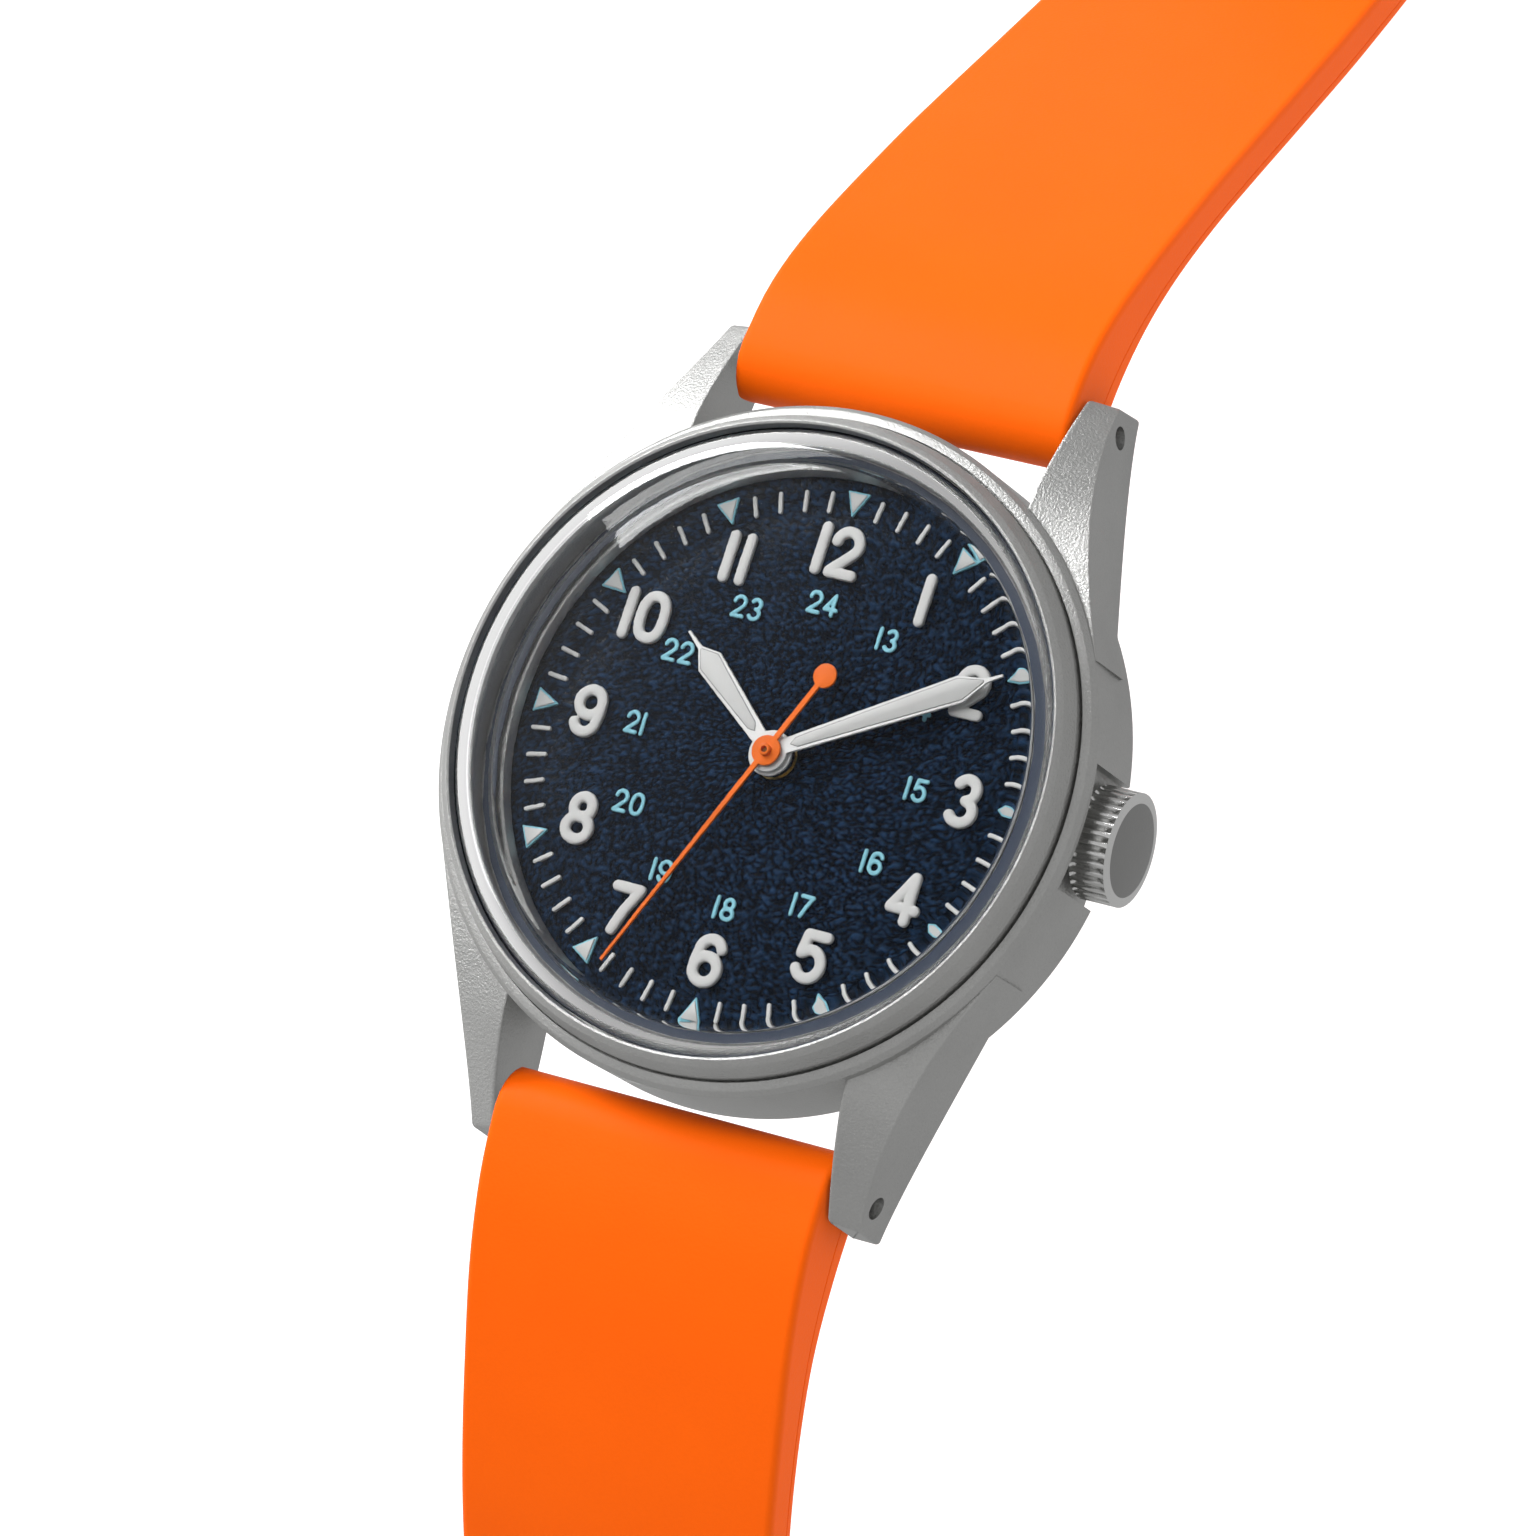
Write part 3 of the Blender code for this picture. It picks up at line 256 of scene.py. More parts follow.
def soft_box(half_x, half_y, radius, steps):
    """A rectangle about the origin with rounded corners."""
    signs = ((1, 1), (-1, 1), (-1, -1), (1, -1))
    return rounded([(x * half_x, y * half_y, radius) for x, y in signs], steps=steps)


def as_object(name, bm):
    mesh = bpy.data.meshes.new(name)
    bmesh.ops.recalc_face_normals(bm, faces=bm.faces)
    bm.to_mesh(mesh)
    bm.free()
    obj = bpy.data.objects.new(name, mesh)
    bpy.context.scene.collection.objects.link(obj)
    return obj


def evaluated(obj):
    """The object's mesh with its modifiers applied, as a bmesh.  The object is removed."""
    depsgraph = bpy.context.evaluated_depsgraph_get()
    bm = bmesh.new()
    bm.from_object(obj, depsgraph)
    mesh = obj.data
    bpy.data.objects.remove(obj, do_unlink=True)
    bpy.data.meshes.remove(mesh)
    return bm


def worked(bm, joins=(), cuts=(), folded=False):
    """A body with others joined to it and then others cut from it.  A folded body may touch itself."""
    base = as_object("work body", bm)
    tools = []
    for operation, bodies in (("UNION", joins), ("DIFFERENCE", cuts)):
        for body in bodies:
            tool = as_object("work tool", body)
            modifier = base.modifiers.new("work", "BOOLEAN")
            modifier.operation = operation
            modifier.solver = "EXACT"
            modifier.use_self = folded
            modifier.object = tool
            tools.append(tool)
    bpy.context.view_layer.update()
    result = evaluated(base)
    for tool in tools:
        bpy.data.objects.remove(tool, do_unlink=True)
    return result


def merged(bodies):
    """Several separate bodies in one mesh."""
    result = bmesh.new()
    for body in bodies:
        mesh = bpy.data.meshes.new("part")
        body.to_mesh(mesh)
        body.free()
        result.from_mesh(mesh)
        bpy.data.meshes.remove(mesh)
    return result


def piece(name, bm, material, slot, body, *nodes, crease=35.0, even=False):
    """Make a finished piece that rides on a body and stands for the named CAD nodes."""
    bmesh.ops.remove_doubles(bm, verts=bm.verts, dist=1e-7)
    obj = as_object(name, bm)
    obj.data.shade_smooth()
    obj.data.set_sharp_from_angle(angle=math.radians(crease))
    obj.data.materials.append(material)
    if even:
        normals = obj.modifiers.new("Even normals", "WEIGHTED_NORMAL")
        normals.keep_sharp = True
    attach(obj, body)
    if nodes:
        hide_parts(*nodes)
    return obj


# -------- materials

def add_node(tree, kind, **values):
    node = tree.nodes.new(kind)
    for name, value in values.items():
        node.inputs[name.replace("_", " ")].default_value = value
    return node


def math_node(tree, operation, *values):
    """A sum or product of numbers and other nodes' outputs."""
    node = add_node(tree, "ShaderNodeMath")
    node.operation = operation
    for socket, value in zip(node.inputs, values):
        if isinstance(value, float):
            socket.default_value = value
        else:
            tree.links.new(value, socket)
    return node.outputs["Value"]


def noise_at(tree, vector, size, detail=2.0, roughness=0.5):
    """A noise whose features are about size metres across."""
    node = add_node(tree, "ShaderNodeTexNoise", Scale=1.0 / size, Detail=detail, Roughness=roughness)
    tree.links.new(vector, node.inputs["Vector"])
    return node.outputs["Factor" if "Factor" in node.outputs else "Fac"]


def varied(tree, factor, low, high):
    node = add_node(tree, "ShaderNodeMapRange", From_Min=0.3, From_Max=0.7, To_Min=low, To_Max=high)
    tree.links.new(factor, node.inputs["Value"])
    return node.outputs["Result"]


def principled(mat):
    return mat.node_tree.nodes["Principled BSDF"]


def surface(name, colour, roughness, metallic=0.0, grain=0.12 * MM, depth=0.25, tint=0.05, spread=0.05,
            stretch=(1.0, 1.0, 1.0)):
    """A material with fine grain in its height, and slow changes in its colour and gloss."""
    mat = bpy.data.materials.new(name)
    mat.use_nodes = True
    tree = mat.node_tree
    shader = principled(mat)
    place = add_node(tree, "ShaderNodeTexCoord")
    mapping = add_node(tree, "ShaderNodeMapping", Scale=stretch)
    tree.links.new(place.outputs["Object"], mapping.inputs["Vector"])
    fine = noise_at(tree, mapping.outputs["Vector"], grain, 3.0, 0.6)
    slow = noise_at(tree, place.outputs["Object"], 6.0 * MM)
    blend = tree.nodes.new("ShaderNodeMix")
    blend.data_type = "RGBA"
    blend.inputs["A"].default_value = (*[c * (1.0 - tint) for c in colour], 1.0)
    blend.inputs["B"].default_value = (*[min(1.0, c * (1.0 + tint)) for c in colour], 1.0)
    both = math_node(tree, "MULTIPLY_ADD", fine, 0.5, math_node(tree, "MULTIPLY", slow, 0.5))
    tree.links.new(varied(tree, both, 0.0, 1.0), blend.inputs["Factor"])
    tree.links.new(blend.outputs["Result"], shader.inputs["Base Color"])
    tree.links.new(varied(tree, fine, roughness - spread, roughness + spread), shader.inputs["Roughness"])
    bump = add_node(tree, "ShaderNodeBump", Strength=depth, Distance=grain * 0.5)
    tree.links.new(fine, bump.inputs["Height"])
    tree.links.new(bump.outputs["Normal"], shader.inputs["Normal"])
    shader.inputs["Metallic"].default_value = metallic
    return mat


def clear_material(name):
    """Clear acrylic, slightly uneven in its polish.  The tint keeps its head-on reflection weak."""
    mat = surface(name, (0.985, 0.99, 0.99), 0.02, grain=0.8 * MM, depth=0.01, tint=0.005, spread=0.008)
    shader = principled(mat)
    shader.inputs["Transmission Weight"].default_value = 1.0
    shader.inputs["IOR"].default_value = 1.49
    shader.inputs["Specular Tint"].default_value = (0.15, 0.15, 0.15, 1.0)
    shader.inputs["Specular IOR Level"].default_value = 0.15
    return mat


def dial_material(name):
    """Navy lacquer over grain, with painted shade in the creases and a painted highlight on the ridges."""
    mat = surface(name, (0.0065, 0.019, 0.044), 0.20, grain=0.12 * MM, depth=0.6, tint=0.85)
    tree = mat.node_tree
    place = add_node(tree, "ShaderNodeTexCoord")
    split = add_node(tree, "ShaderNodeSeparateXYZ")
    tree.links.new(place.outputs["Object"], split.inputs["Vector"])
    # Painted shade and highlight: by the grain's height, the colour runs from dark navy in the creases to
    # lighter navy on the ridges.
    height = add_node(tree, "ShaderNodeMapRange", From_Min=DIAL_TOP_Z - 0.80 * GRAIN_RELIEF,
                      From_Max=DIAL_TOP_Z - 0.15 * GRAIN_RELIEF)
    tree.links.new(split.outputs["Z"], height.inputs["Value"])
    tree.links.new(height.outputs["Result"], tree.nodes["Mix"].inputs["Factor"])
    principled(mat).inputs["Specular IOR Level"].default_value = 0.16
    return mat


def rubber_material(name):
    """Orange rubber with hardly any shine."""
    mat = surface(name, (1.0, 0.124, 0.001), 0.5, grain=0.17 * MM, depth=0.18, tint=0.035)
    principled(mat).inputs["Specular IOR Level"].default_value = 0.1
    return mat


# Name, colour, roughness, metallic, grain size, grain depth, tint, spread of the roughness
STEEL = surface("Blasted steel", (0.57, 0.57, 0.56), 0.42, 1.0, 0.15 * MM, 0.75, 0.10, 0.07)
POLISHED = surface("Polished steel", (0.80, 0.80, 0.79), 0.12, 1.0, 0.5 * MM, 0.03, 0.03, 0.03)
# The crown's polished steel, lighter than the other polished steel as a painted highlight on its flutes.
CROWN_STEEL_HIGHLIT = surface("Bright steel, painted highlight", (0.86, 0.86, 0.85), 0.20, 1.0, 0.10 * MM, 0.12, 0.06, 0.05)
# Rougher steel for the crown's end, also darkened as painted shade on that face.
MATTE_SHADED_STEEL = surface("Matte steel, painted shade", (0.36, 0.36, 0.355), 0.38, 1.0, 0.12 * MM, 0.5, 0.06, 0.07)
BRASS = surface("Gilt brass", (0.82, 0.62, 0.28), 0.30, 1.0, 0.2 * MM, 0.12, 0.06, 0.06)
NICKEL = surface("Nickel plate", (0.72, 0.71, 0.68), 0.27, 1.0, 0.15 * MM, 0.12, 0.05, 0.06, (1.0, 0.05, 1.0))
SEAL = surface("Black seal rubber", (0.022, 0.022, 0.022), 0.62, 0.0, 0.15 * MM, 0.2, 0.15, 0.05)
NYLON = surface("Dark nylon", (0.035, 0.046, 0.072), 0.5, 0.0, 0.3 * MM, 0.1, 0.04, 0.06)
RUBBER = rubber_material("Orange rubber")
DIAL_NAVY = dial_material("Navy dial")
LUME = surface("White lume", (0.60, 0.60, 0.59), 0.55, 0.0, 0.07 * MM, 0.2, 0.03, 0.08)
PRINT_BLUE = surface("Pale blue print", (0.22, 0.52, 0.62), 0.5, 0.0, 0.07 * MM, 0.2, 0.05, 0.08)
# The hands' thin rim round their lume panels, in grey as painted shade of the groove between rim and panel.
GROOVE_SHADE_GREY = surface("Grey rim with painted groove shade", (0.20, 0.20, 0.20), 0.4, 0.0, 0.07 * MM, 0.2, 0.08, 0.08)
HAND_WHITE = surface("White lacquer", (0.70, 0.70, 0.69), 0.34, 0.0, 0.10 * MM, 0.08, 0.02, 0.06)
HAND_ORANGE = surface("Orange lacquer", (0.82, 0.145, 0.003), 0.34, 0.0, 0.08 * MM, 0.12, 0.04, 0.06)
CLEAR = clear_material("Clear acrylic")

SLOT_MATERIALS = {
    "case_steel": STEEL, "polished_steel": POLISHED, "gilt_brass": BRASS, "nickel_plate": NICKEL,
    "strap_rubber": RUBBER, "seal_rubber": SEAL, "nylon": NYLON, "clear_acrylic": CLEAR,
    "dial_enamel": DIAL_NAVY, "white_lacquer": HAND_WHITE, "orange_lacquer": HAND_ORANGE,
}


def dress_cad_nodes():
    """Every node that keeps its CAD shape gets its slot's finish."""
    for part in frame["record"]["subparts"]:
        obj = frame["nodes"][part["node"]]
        obj.data.materials.clear()
        obj.data.materials.append(SLOT_MATERIALS[part["material_slot"]])


# -------- case

def lug_ridge_x(y):
    """Outer edge of a lug in plan: a concave flare that runs from the case side to the tip."""
    tip_x = 11.75 * MM
    flare = 4.7 * MM
    reach = max(0.0, (23.2 * MM - y) / (14.0 * MM))
    return tip_x + flare * reach ** 1.45


def lug_ridge_z(y):
    root_z = 7.05 * MM
    drop = 4.15 * MM
    fall = max(0.0, (y - 9.0 * MM) / (13.8 * MM))
    return root_z - drop * fall ** 2.1


def lug_top_rise(y):
    """How much a lug's inner edge stands over its outer edge."""
    return 0.8 * MM * min(1.0, max(0.0, (y - 12.0 * MM) / (5.0 * MM)))


def lug_bottom_z(y):
    tip_z = 0.22 * MM
    arch = 2.9 * MM
    reach = (23.3 * MM - y) / (12.2 * MM)
    return tip_z + arch * reach ** 2


def lug_section(side_x, side_y, y, lean, inset):
    """A lug's outline at y, drawn in by inset, its top leaned back towards the case."""
    low = min(lug_bottom_z(y), 3.3 * MM)
    ridge = lug_ridge_x(y)
    corners = (
        (LUG_HALF_OPENING, lug_ridge_z(y) + lug_top_rise(y), 0.16 * MM),
        (ridge, lug_ridge_z(y), 0.13 * MM),
        (ridge + 0.1 * MM, low, 0.25 * MM),
        (LUG_HALF_OPENING, low, 0.16 * MM),
    )
    section = grown(rounded(corners), -inset)
    middle = (lug_ridge_z(y) + low) / 2.0
    ring = []
    for x, z in section:
        slope = lean * (middle - z) / (2.0 * MM)
        ring.append((side_x * x, side_y * (y + slope), z))
    return ring


def lug(side_x, side_y):
    """One lug, lofted along Y, with a softened tip."""
    tip_y = 22.85 * MM
    soft = 0.22 * MM
    lean = 0.12 * MM
    root_y = 8.6 * MM
    count = 44
    rings = []
    for step in range(count + 1):
        share = step / count
        y = root_y + (tip_y - soft - root_y) * share
        rings.append(lug_section(side_x, side_y, y, lean * share ** 4, 0.0))
    for step in range(1, 5):
        turn = math.radians(22.5 * step)
        y = tip_y - soft + soft * math.sin(turn)
        rings.append(lug_section(side_x, side_y, y, lean, soft * (1.0 - math.cos(turn))))
    return loft(rings)


def build_case():
    """The case ring with its lugs, bore and ledges, the crown's recess and the bar holes."""
    body = rounded((
        (0.0, 1.3 * MM), (17.5 * MM, 1.3 * MM, 0.2 * MM), (18.45 * MM, 1.6 * MM, 0.2 * MM),
        (CASE_R, 2.1 * MM, 0.25 * MM), (CASE_R, 7.2 * MM, 0.14 * MM), (18.5 * MM, 7.55 * MM, 0.12 * MM),
        (18.08 * MM, 7.7 * MM), (0.0, 7.7 * MM),
    ))
    bore = (
        (0.0, -MM), (16.2 * MM, -MM), (16.2 * MM, 1.75 * MM), (15.5 * MM, 1.75 * MM),
        (15.5 * MM, 5.7 * MM), (16.3 * MM, 5.7 * MM), (16.3 * MM, 7.2 * MM), (18.05 * MM, 7.2 * MM),
        (18.05 * MM, 9.0 * MM), (0.0, 9.0 * MM),
    )
    lugs = [lug(side_x, side_y) for side_x in (1, -1) for side_y in (1, -1)]
    recess_x = 17.7 * MM
    recess_half = 3.4 * MM
    recess = block((recess_x, -recess_half, -MM), (24.0 * MM, recess_half, 6.9 * MM))
    tube_hole = rod(1.15 * MM, 13.0 * MM, 20.0 * MM, axis="X", centre=(0.0, 0.0, STEM_Z))
    bar_holes = [cross_bar(LUG_HOLE_R, 16.0 * MM, side_y * SPRING_BAR_Y, SPRING_BAR_Z) for side_y in (1, -1)]
    case = worked(turned(body), lugs, [turned(bore), recess, tube_hole, *bar_holes])
    piece("case_shell", case, STEEL, "case_steel", "watch_case", "case_middle", crease=32.0, even=True)


def build_bezel():
    low = BEZEL_LOW.z
    high = BEZEL_HIGH.z
    outline = rounded((
        (17.12 * MM, low), (BEZEL_R, low, 0.06 * MM), (BEZEL_R, low + 0.9 * MM, 0.16 * MM),
        (17.6 * MM, high - 0.3 * MM, 0.12 * MM), (17.25 * MM, high, 0.08 * MM),
        (17.12 * MM, high - 0.08 * MM),
    ))
    piece("bezel_ring", turned(outline), STEEL, "case_steel", "watch_case", "bezel", crease=50.0)


def dome(edge_r, edge_z, corner, wall_z, top_z, steps=28):
    """Half outline of a domed disc with a round corner, from its wall up to its middle."""
    reach = edge_r - corner
    points = [Vector((edge_r, wall_z))]
    points += arc((reach, edge_z - corner), corner, 0.0, 84.0, 12)
    start = points[-1]
    for step in range(1, steps + 1):
        radius = start.x * (1.0 - step / steps)
        share = radius / start.x
        points.append(Vector((radius, top_z - (top_z - start.y) * share ** 2)))
    return points


def build_crystal():
    """Clear dome with a broad round shoulder.  Its wall ends just inside the bezel's mouth."""
    wall_z = BEZEL_HIGH.z - 0.5 * MM
    top_z = CRYSTAL_HIGH.z
    inside = dome(15.8 * MM, top_z - 1.75 * MM, 0.7 * MM, wall_z, top_z - 0.95 * MM)
    outside = dome(CRYSTAL_R, top_z - 0.75 * MM, 1.8 * MM, wall_z, top_z)
    outline = list(reversed(inside)) + outside
    glass = piece("crystal_dome", turned(outline), CLEAR, "clear_acrylic", "watch_case", "crystal",
                  crease=60.0)
    glass.visible_shadow = False


def build_rehaut():
    outline = rounded((
        (15.35 * MM, 6.6 * MM, 0.05 * MM), (16.15 * MM, 6.6 * MM), (16.15 * MM, 7.1 * MM),
        (15.8 * MM, 7.1 * MM), (15.75 * MM, 7.25 * MM, 0.04 * MM), (15.55 * MM, 7.25 * MM, 0.04 * MM),
    ))
    piece("rehaut", turned(outline), STEEL, "polished_steel", "watch_case", "rehaut_ring", crease=50.0)


def build_case_back():
    outline = rounded((
        (0.0, 0.06 * MM), (11.4 * MM, 0.06 * MM, 0.05 * MM), (11.6 * MM, 0.0, 0.05 * MM),
        (15.9 * MM, 0.0, 0.1 * MM), (BACK_R, 0.35 * MM, 0.12 * MM), (BACK_R, 1.1 * MM, 0.05 * MM),
        (15.25 * MM, 1.1 * MM), (15.25 * MM, 1.35 * MM), (0.0, 1.35 * MM),
    ))
    notches = []
    count = 6
    for step in range(count):
        notch = block((15.6 * MM, -1.0 * MM, -1.0 * MM), (18.0 * MM, 1.0 * MM, 0.7 * MM))
        turn = Matrix.Rotation(TAU * (step + 0.5) / count, 3, "Z")
        bmesh.ops.rotate(notch, verts=notch.verts, matrix=turn)
        notches.append(notch)
    back = worked(turned(outline), (), notches)
    piece("screw_back", back, STEEL, "case_steel", "watch_case", "case_back", crease=32.0, even=True)


# -------- dial

def grain_height(x, y):
    """Leather-like grain: rounded bumps, drawn out along one direction, with sharp creases between."""
    along = (0.94 * x + 0.34 * y) / 1.55
    across = -0.34 * x + 0.94 * y
    bend = 0.35 * noise.noise(Vector((along, across, 3.0 * MM)) / (0.5 * MM))
    spot = Vector((along / GRAIN_SIZE + bend, across / GRAIN_SIZE - bend, 0.5))
    return abs(noise.noise(spot)) + 0.45 * abs(noise.noise(spot * 2.1 + Vector((5.2, 1.7, 0.0))))


def build_dial():
    """A disc whose upper face is really grained, on rings about a tenth of a millimetre apart."""
    inner_r = 1.25 * MM
    rim_r = DIAL_R - 0.3 * MM
    spokes = 720
    count = 146
    bottom = DIAL_TOP_Z - 0.4 * MM
    crease_z = DIAL_TOP_Z - GRAIN_RELIEF
    rings = [(inner_r, bottom), (inner_r, crease_z)]
    rings += [(inner_r + (rim_r - inner_r) * step / count, None) for step in range(1, count)]
    rings += [(DIAL_R, crease_z), (DIAL_R, bottom)]
    points = []
    for radius, level in rings:
        row = []
        for step in range(spokes):
            angle = TAU * step / spokes
            x = radius * math.cos(angle)
            y = radius * math.sin(angle)
            z = level
            if level is None:
                z = DIAL_TOP_Z - GRAIN_RELIEF * (1.0 - min(1.0, grain_height(x, y)))
            row.append((x, y, z))
        points.append(row)
    disc = loft(points, closed=True)
    piece("dial_plate", disc, DIAL_NAVY, "dial_enamel", "watch_case", "dial", crease=80.0)


def curve_points(centre, radii, start, end, steps=18):
    points = []
    for step in range(steps + 1):
        angle = math.radians(start + (end - start) * step / steps)
        points.append((centre[0] + radii[0] * math.cos(angle), centre[1] + radii[1] * math.sin(angle)))
    return points


def zero_points():
    """The digit 0, a closed superellipse."""
    points = []
    for step in range(37):
        angle = TAU * step / 36
        x = 0.3 + 0.3 * squared(math.cos(angle), 0.83)
        points.append((x, 0.5 + 0.5 * squared(math.sin(angle), 0.83)))
    return points


def digit_strokes(digit):
    """Centre lines of a digit that is one unit high and 0.6 wide."""
    two = curve_points((0.29, 0.70), (0.29, 0.30), 172.0, -35.0) + [(0.30, 0.30), (0.02, 0.02)]
    hook = curve_points((0.31, 0.72), (0.28, 0.28), 20.0, 160.0)
    hook += [(0.02, 0.66), (0.0, 0.5), (0.0, 0.3)]
    six = [hook, curve_points((0.3, 0.3), (0.3, 0.3), 0.0, 360.0, 30)]
    strokes = {
        "0": [zero_points()],
        "1": [[(0.0, 0.0), (0.0, 1.0)]],
        "2": [two, [(0.02, 0.0), (0.6, 0.0)]],
        "3": [curve_points((0.28, 0.755), (0.24, 0.245), 150.0, -75.0),
              curve_points((0.28, 0.26), (0.28, 0.26), 80.0, -150.0)],
        "4": [[(0.42, 0.0), (0.42, 1.0)], [(0.42, 1.0), (0.0, 0.27)], [(0.0, 0.27), (0.6, 0.27)]],
        "5": [[(0.58, 1.0), (0.12, 1.0)], [(0.12, 1.0), (0.06, 0.56)],
              curve_points((0.3, 0.33), (0.3, 0.33), 130.0, -155.0)],
        "6": six,
        "7": [[(0.0, 1.0), (0.6, 1.0)], [(0.6, 1.0), (0.34, 0.5), (0.16, 0.0)]],
        "8": [curve_points((0.3, 0.76), (0.235, 0.24), 0.0, 360.0, 30),
              curve_points((0.3, 0.27), (0.3, 0.27), 0.0, 360.0, 30)],
        "9": [[(0.6 - x, 1.0 - y) for x, y in stroke] for stroke in six],
    }
    return strokes[digit]


def stroke_body(points, half_width, half_height):
    """A stroke with a flattened oval section and round ends."""
    line = [Vector(p) for p in points]
    rings = []
    stations = []
    first = (line[1] - line[0]).normalized()
    last = (line[-1] - line[-2]).normalized()
    for angle in (80.0, 60.0, 40.0, 20.0):
        turn = math.radians(angle)
        stations.append((line[0] - first * half_width * math.sin(turn), first, math.cos(turn)))
    for index, here in enumerate(line):
        ahead = line[min(index + 1, len(line) - 1)]
        behind = line[max(index - 1, 0)]
        stations.append((here, (ahead - behind).normalized(), 1.0))
    for angle in (20.0, 40.0, 60.0, 80.0):
        turn = math.radians(angle)
        stations.append((line[-1] + last * half_width * math.sin(turn), last, math.cos(turn)))
    for centre, tangent, size in stations:
        normal = Vector((-tangent.y, tangent.x))
        ring = []
        for step in range(20):
            angle = TAU * step / 20
            across = half_width * size * squared(math.cos(angle), 0.6)
            up = half_height * math.sqrt(size) * squared(math.sin(angle), 0.6)
            spot = centre + normal * across
            ring.append((spot.x, spot.y, up))
        rings.append(ring)
    return loft(rings)


def number_body(text, height, half_width, half_height, bar_gap, digit_gap, voxel):
    """A number as one smooth raised body, in millimetres, centred on the origin."""
    bodies = []
    start = 0.0
    for digit in text:
        for stroke in digit_strokes(digit):
            points = [(start + x * height, y * height) for x, y in stroke]
            bodies.append(stroke_body(points, half_width, half_height))
        start += bar_gap if digit == "1" else digit_gap
    lettering = as_object("work number", merged(bodies))
    remesh = lettering.modifiers.new("Remesh", "REMESH")
    remesh.mode = "VOXEL"
    remesh.voxel_size = voxel
    smooth = lettering.modifiers.new("Smooth", "SMOOTH")
    smooth.iterations = 3
    smooth.factor = 0.5
    bpy.context.view_layer.update()
    bm = evaluated(lettering)
    xs = [vert.co.x for vert in bm.verts]
    middle = Vector(((min(xs) + max(xs)) / 2.0, height / 2.0, 0.0))
    bmesh.ops.translate(bm, verts=bm.verts, vec=-middle)
    return bm


def build_numbers():
    """Hour numerals on the outer ring and 13 to 24 on the inner ring, all upright."""
    for hour in range(1, 13):
        direction = Vector((math.sin(TAU * hour / 12), math.cos(TAU * hour / 12), 0.0))
        second_bar = 1.02 if hour == 11 else 0.78
        outer = number_body(str(hour), height=2.35, half_width=0.31, half_height=0.21,
                            bar_gap=second_bar, digit_gap=2.0, voxel=0.04)
        inner = number_body(str(hour + 12), height=1.08, half_width=0.12, half_height=0.07,
                            bar_gap=0.40, digit_gap=0.99, voxel=0.03)
        rows = (
            (f"numeral_{hour:02d}", outer, LUME, HOUR_RING_R, 0.08 * MM),
            (f"day_number_{hour + 12}", inner, PRINT_BLUE, DAY_RING_R, 0.0),
        )
        for name, bm, material, ring_r, lift in rows:
            bmesh.ops.scale(bm, verts=bm.verts, vec=(MM, MM, MM))
            place = direction * ring_r + Vector((0.0, 0.0, DIAL_TOP_Z + lift))
            bmesh.ops.translate(bm, verts=bm.verts, vec=place)
            piece(name, bm, material, "white_lacquer", "watch_case", crease=80.0)


def build_minute_marks():
    low = DIAL_TOP_Z - 0.12 * MM
    ticks = []
    for minute in range(60):
        if minute % 5:
            outline = arc((0.0, TICK_OUTER_R), TICK_HALF_WIDTH, 0.0, 180.0, 8)
            outline += arc((0.0, TICK_INNER_R), TICK_HALF_WIDTH, 180.0, 360.0, 8)
            ticks.append(turn_plan(plate(outline, low, DIAL_TOP_Z + 0.07 * MM, 0.05 * MM), 6.0 * minute))
    piece("minute_ticks", merged(ticks), LUME, "white_lacquer", "watch_case", crease=60.0)
    half = 0.69 * MM
    triangle = [Vector((half, MARK_OUTER_R)), Vector((-half, MARK_OUTER_R)), Vector((0.0, MARK_INNER_R))]
    outline = rounded([(p.x, p.y, 0.06 * MM) for p in triangle])
    heart = rounded([(p.x, p.y, 0.04 * MM) for p in grown(triangle, -0.09 * MM)])
    borders = []
    hearts = []
    for hour in range(12):
        borders.append(turn_plan(plate(outline, low, DIAL_TOP_Z + 0.05 * MM, 0.03 * MM), 30.0 * hour))
        hearts.append(turn_plan(plate(heart, low, DIAL_TOP_Z + 0.11 * MM, 0.04 * MM), 30.0 * hour))
    piece("hour_triangle_borders", merged(borders), PRINT_BLUE, "white_lacquer", "watch_case", crease=60.0)
    piece("hour_triangles", merged(hearts), LUME, "white_lacquer", "watch_case", crease=60.0)


# -------- hands

def lance(length, widest, at, neck, root_half):
    """Outline of a lance hand: it widens from the hub to its shoulder, then runs to a needle tip."""
    needle = 0.13 * MM
    right = [(root_half, 0.6 * MM), (widest / 2.0, at), (needle, neck), (0.07 * MM, length)]
    return [Vector(p) for p in right] + [Vector((-x, y)) for x, y in reversed(right)]


def panel(widest, at, neck, start, point):
    """Outline of the luminous panel in a lance hand, with a pointed or blunt inner end."""
    half = widest / 2.0 - 0.17 * MM
    right = [(0.25 * MM, start + point), (half, at), (0.05 * MM, neck - 0.15 * MM)]
    return [Vector((0.0, start))] + [Vector(p) for p in right] + [Vector((-x, y)) for x, y in reversed(right)]


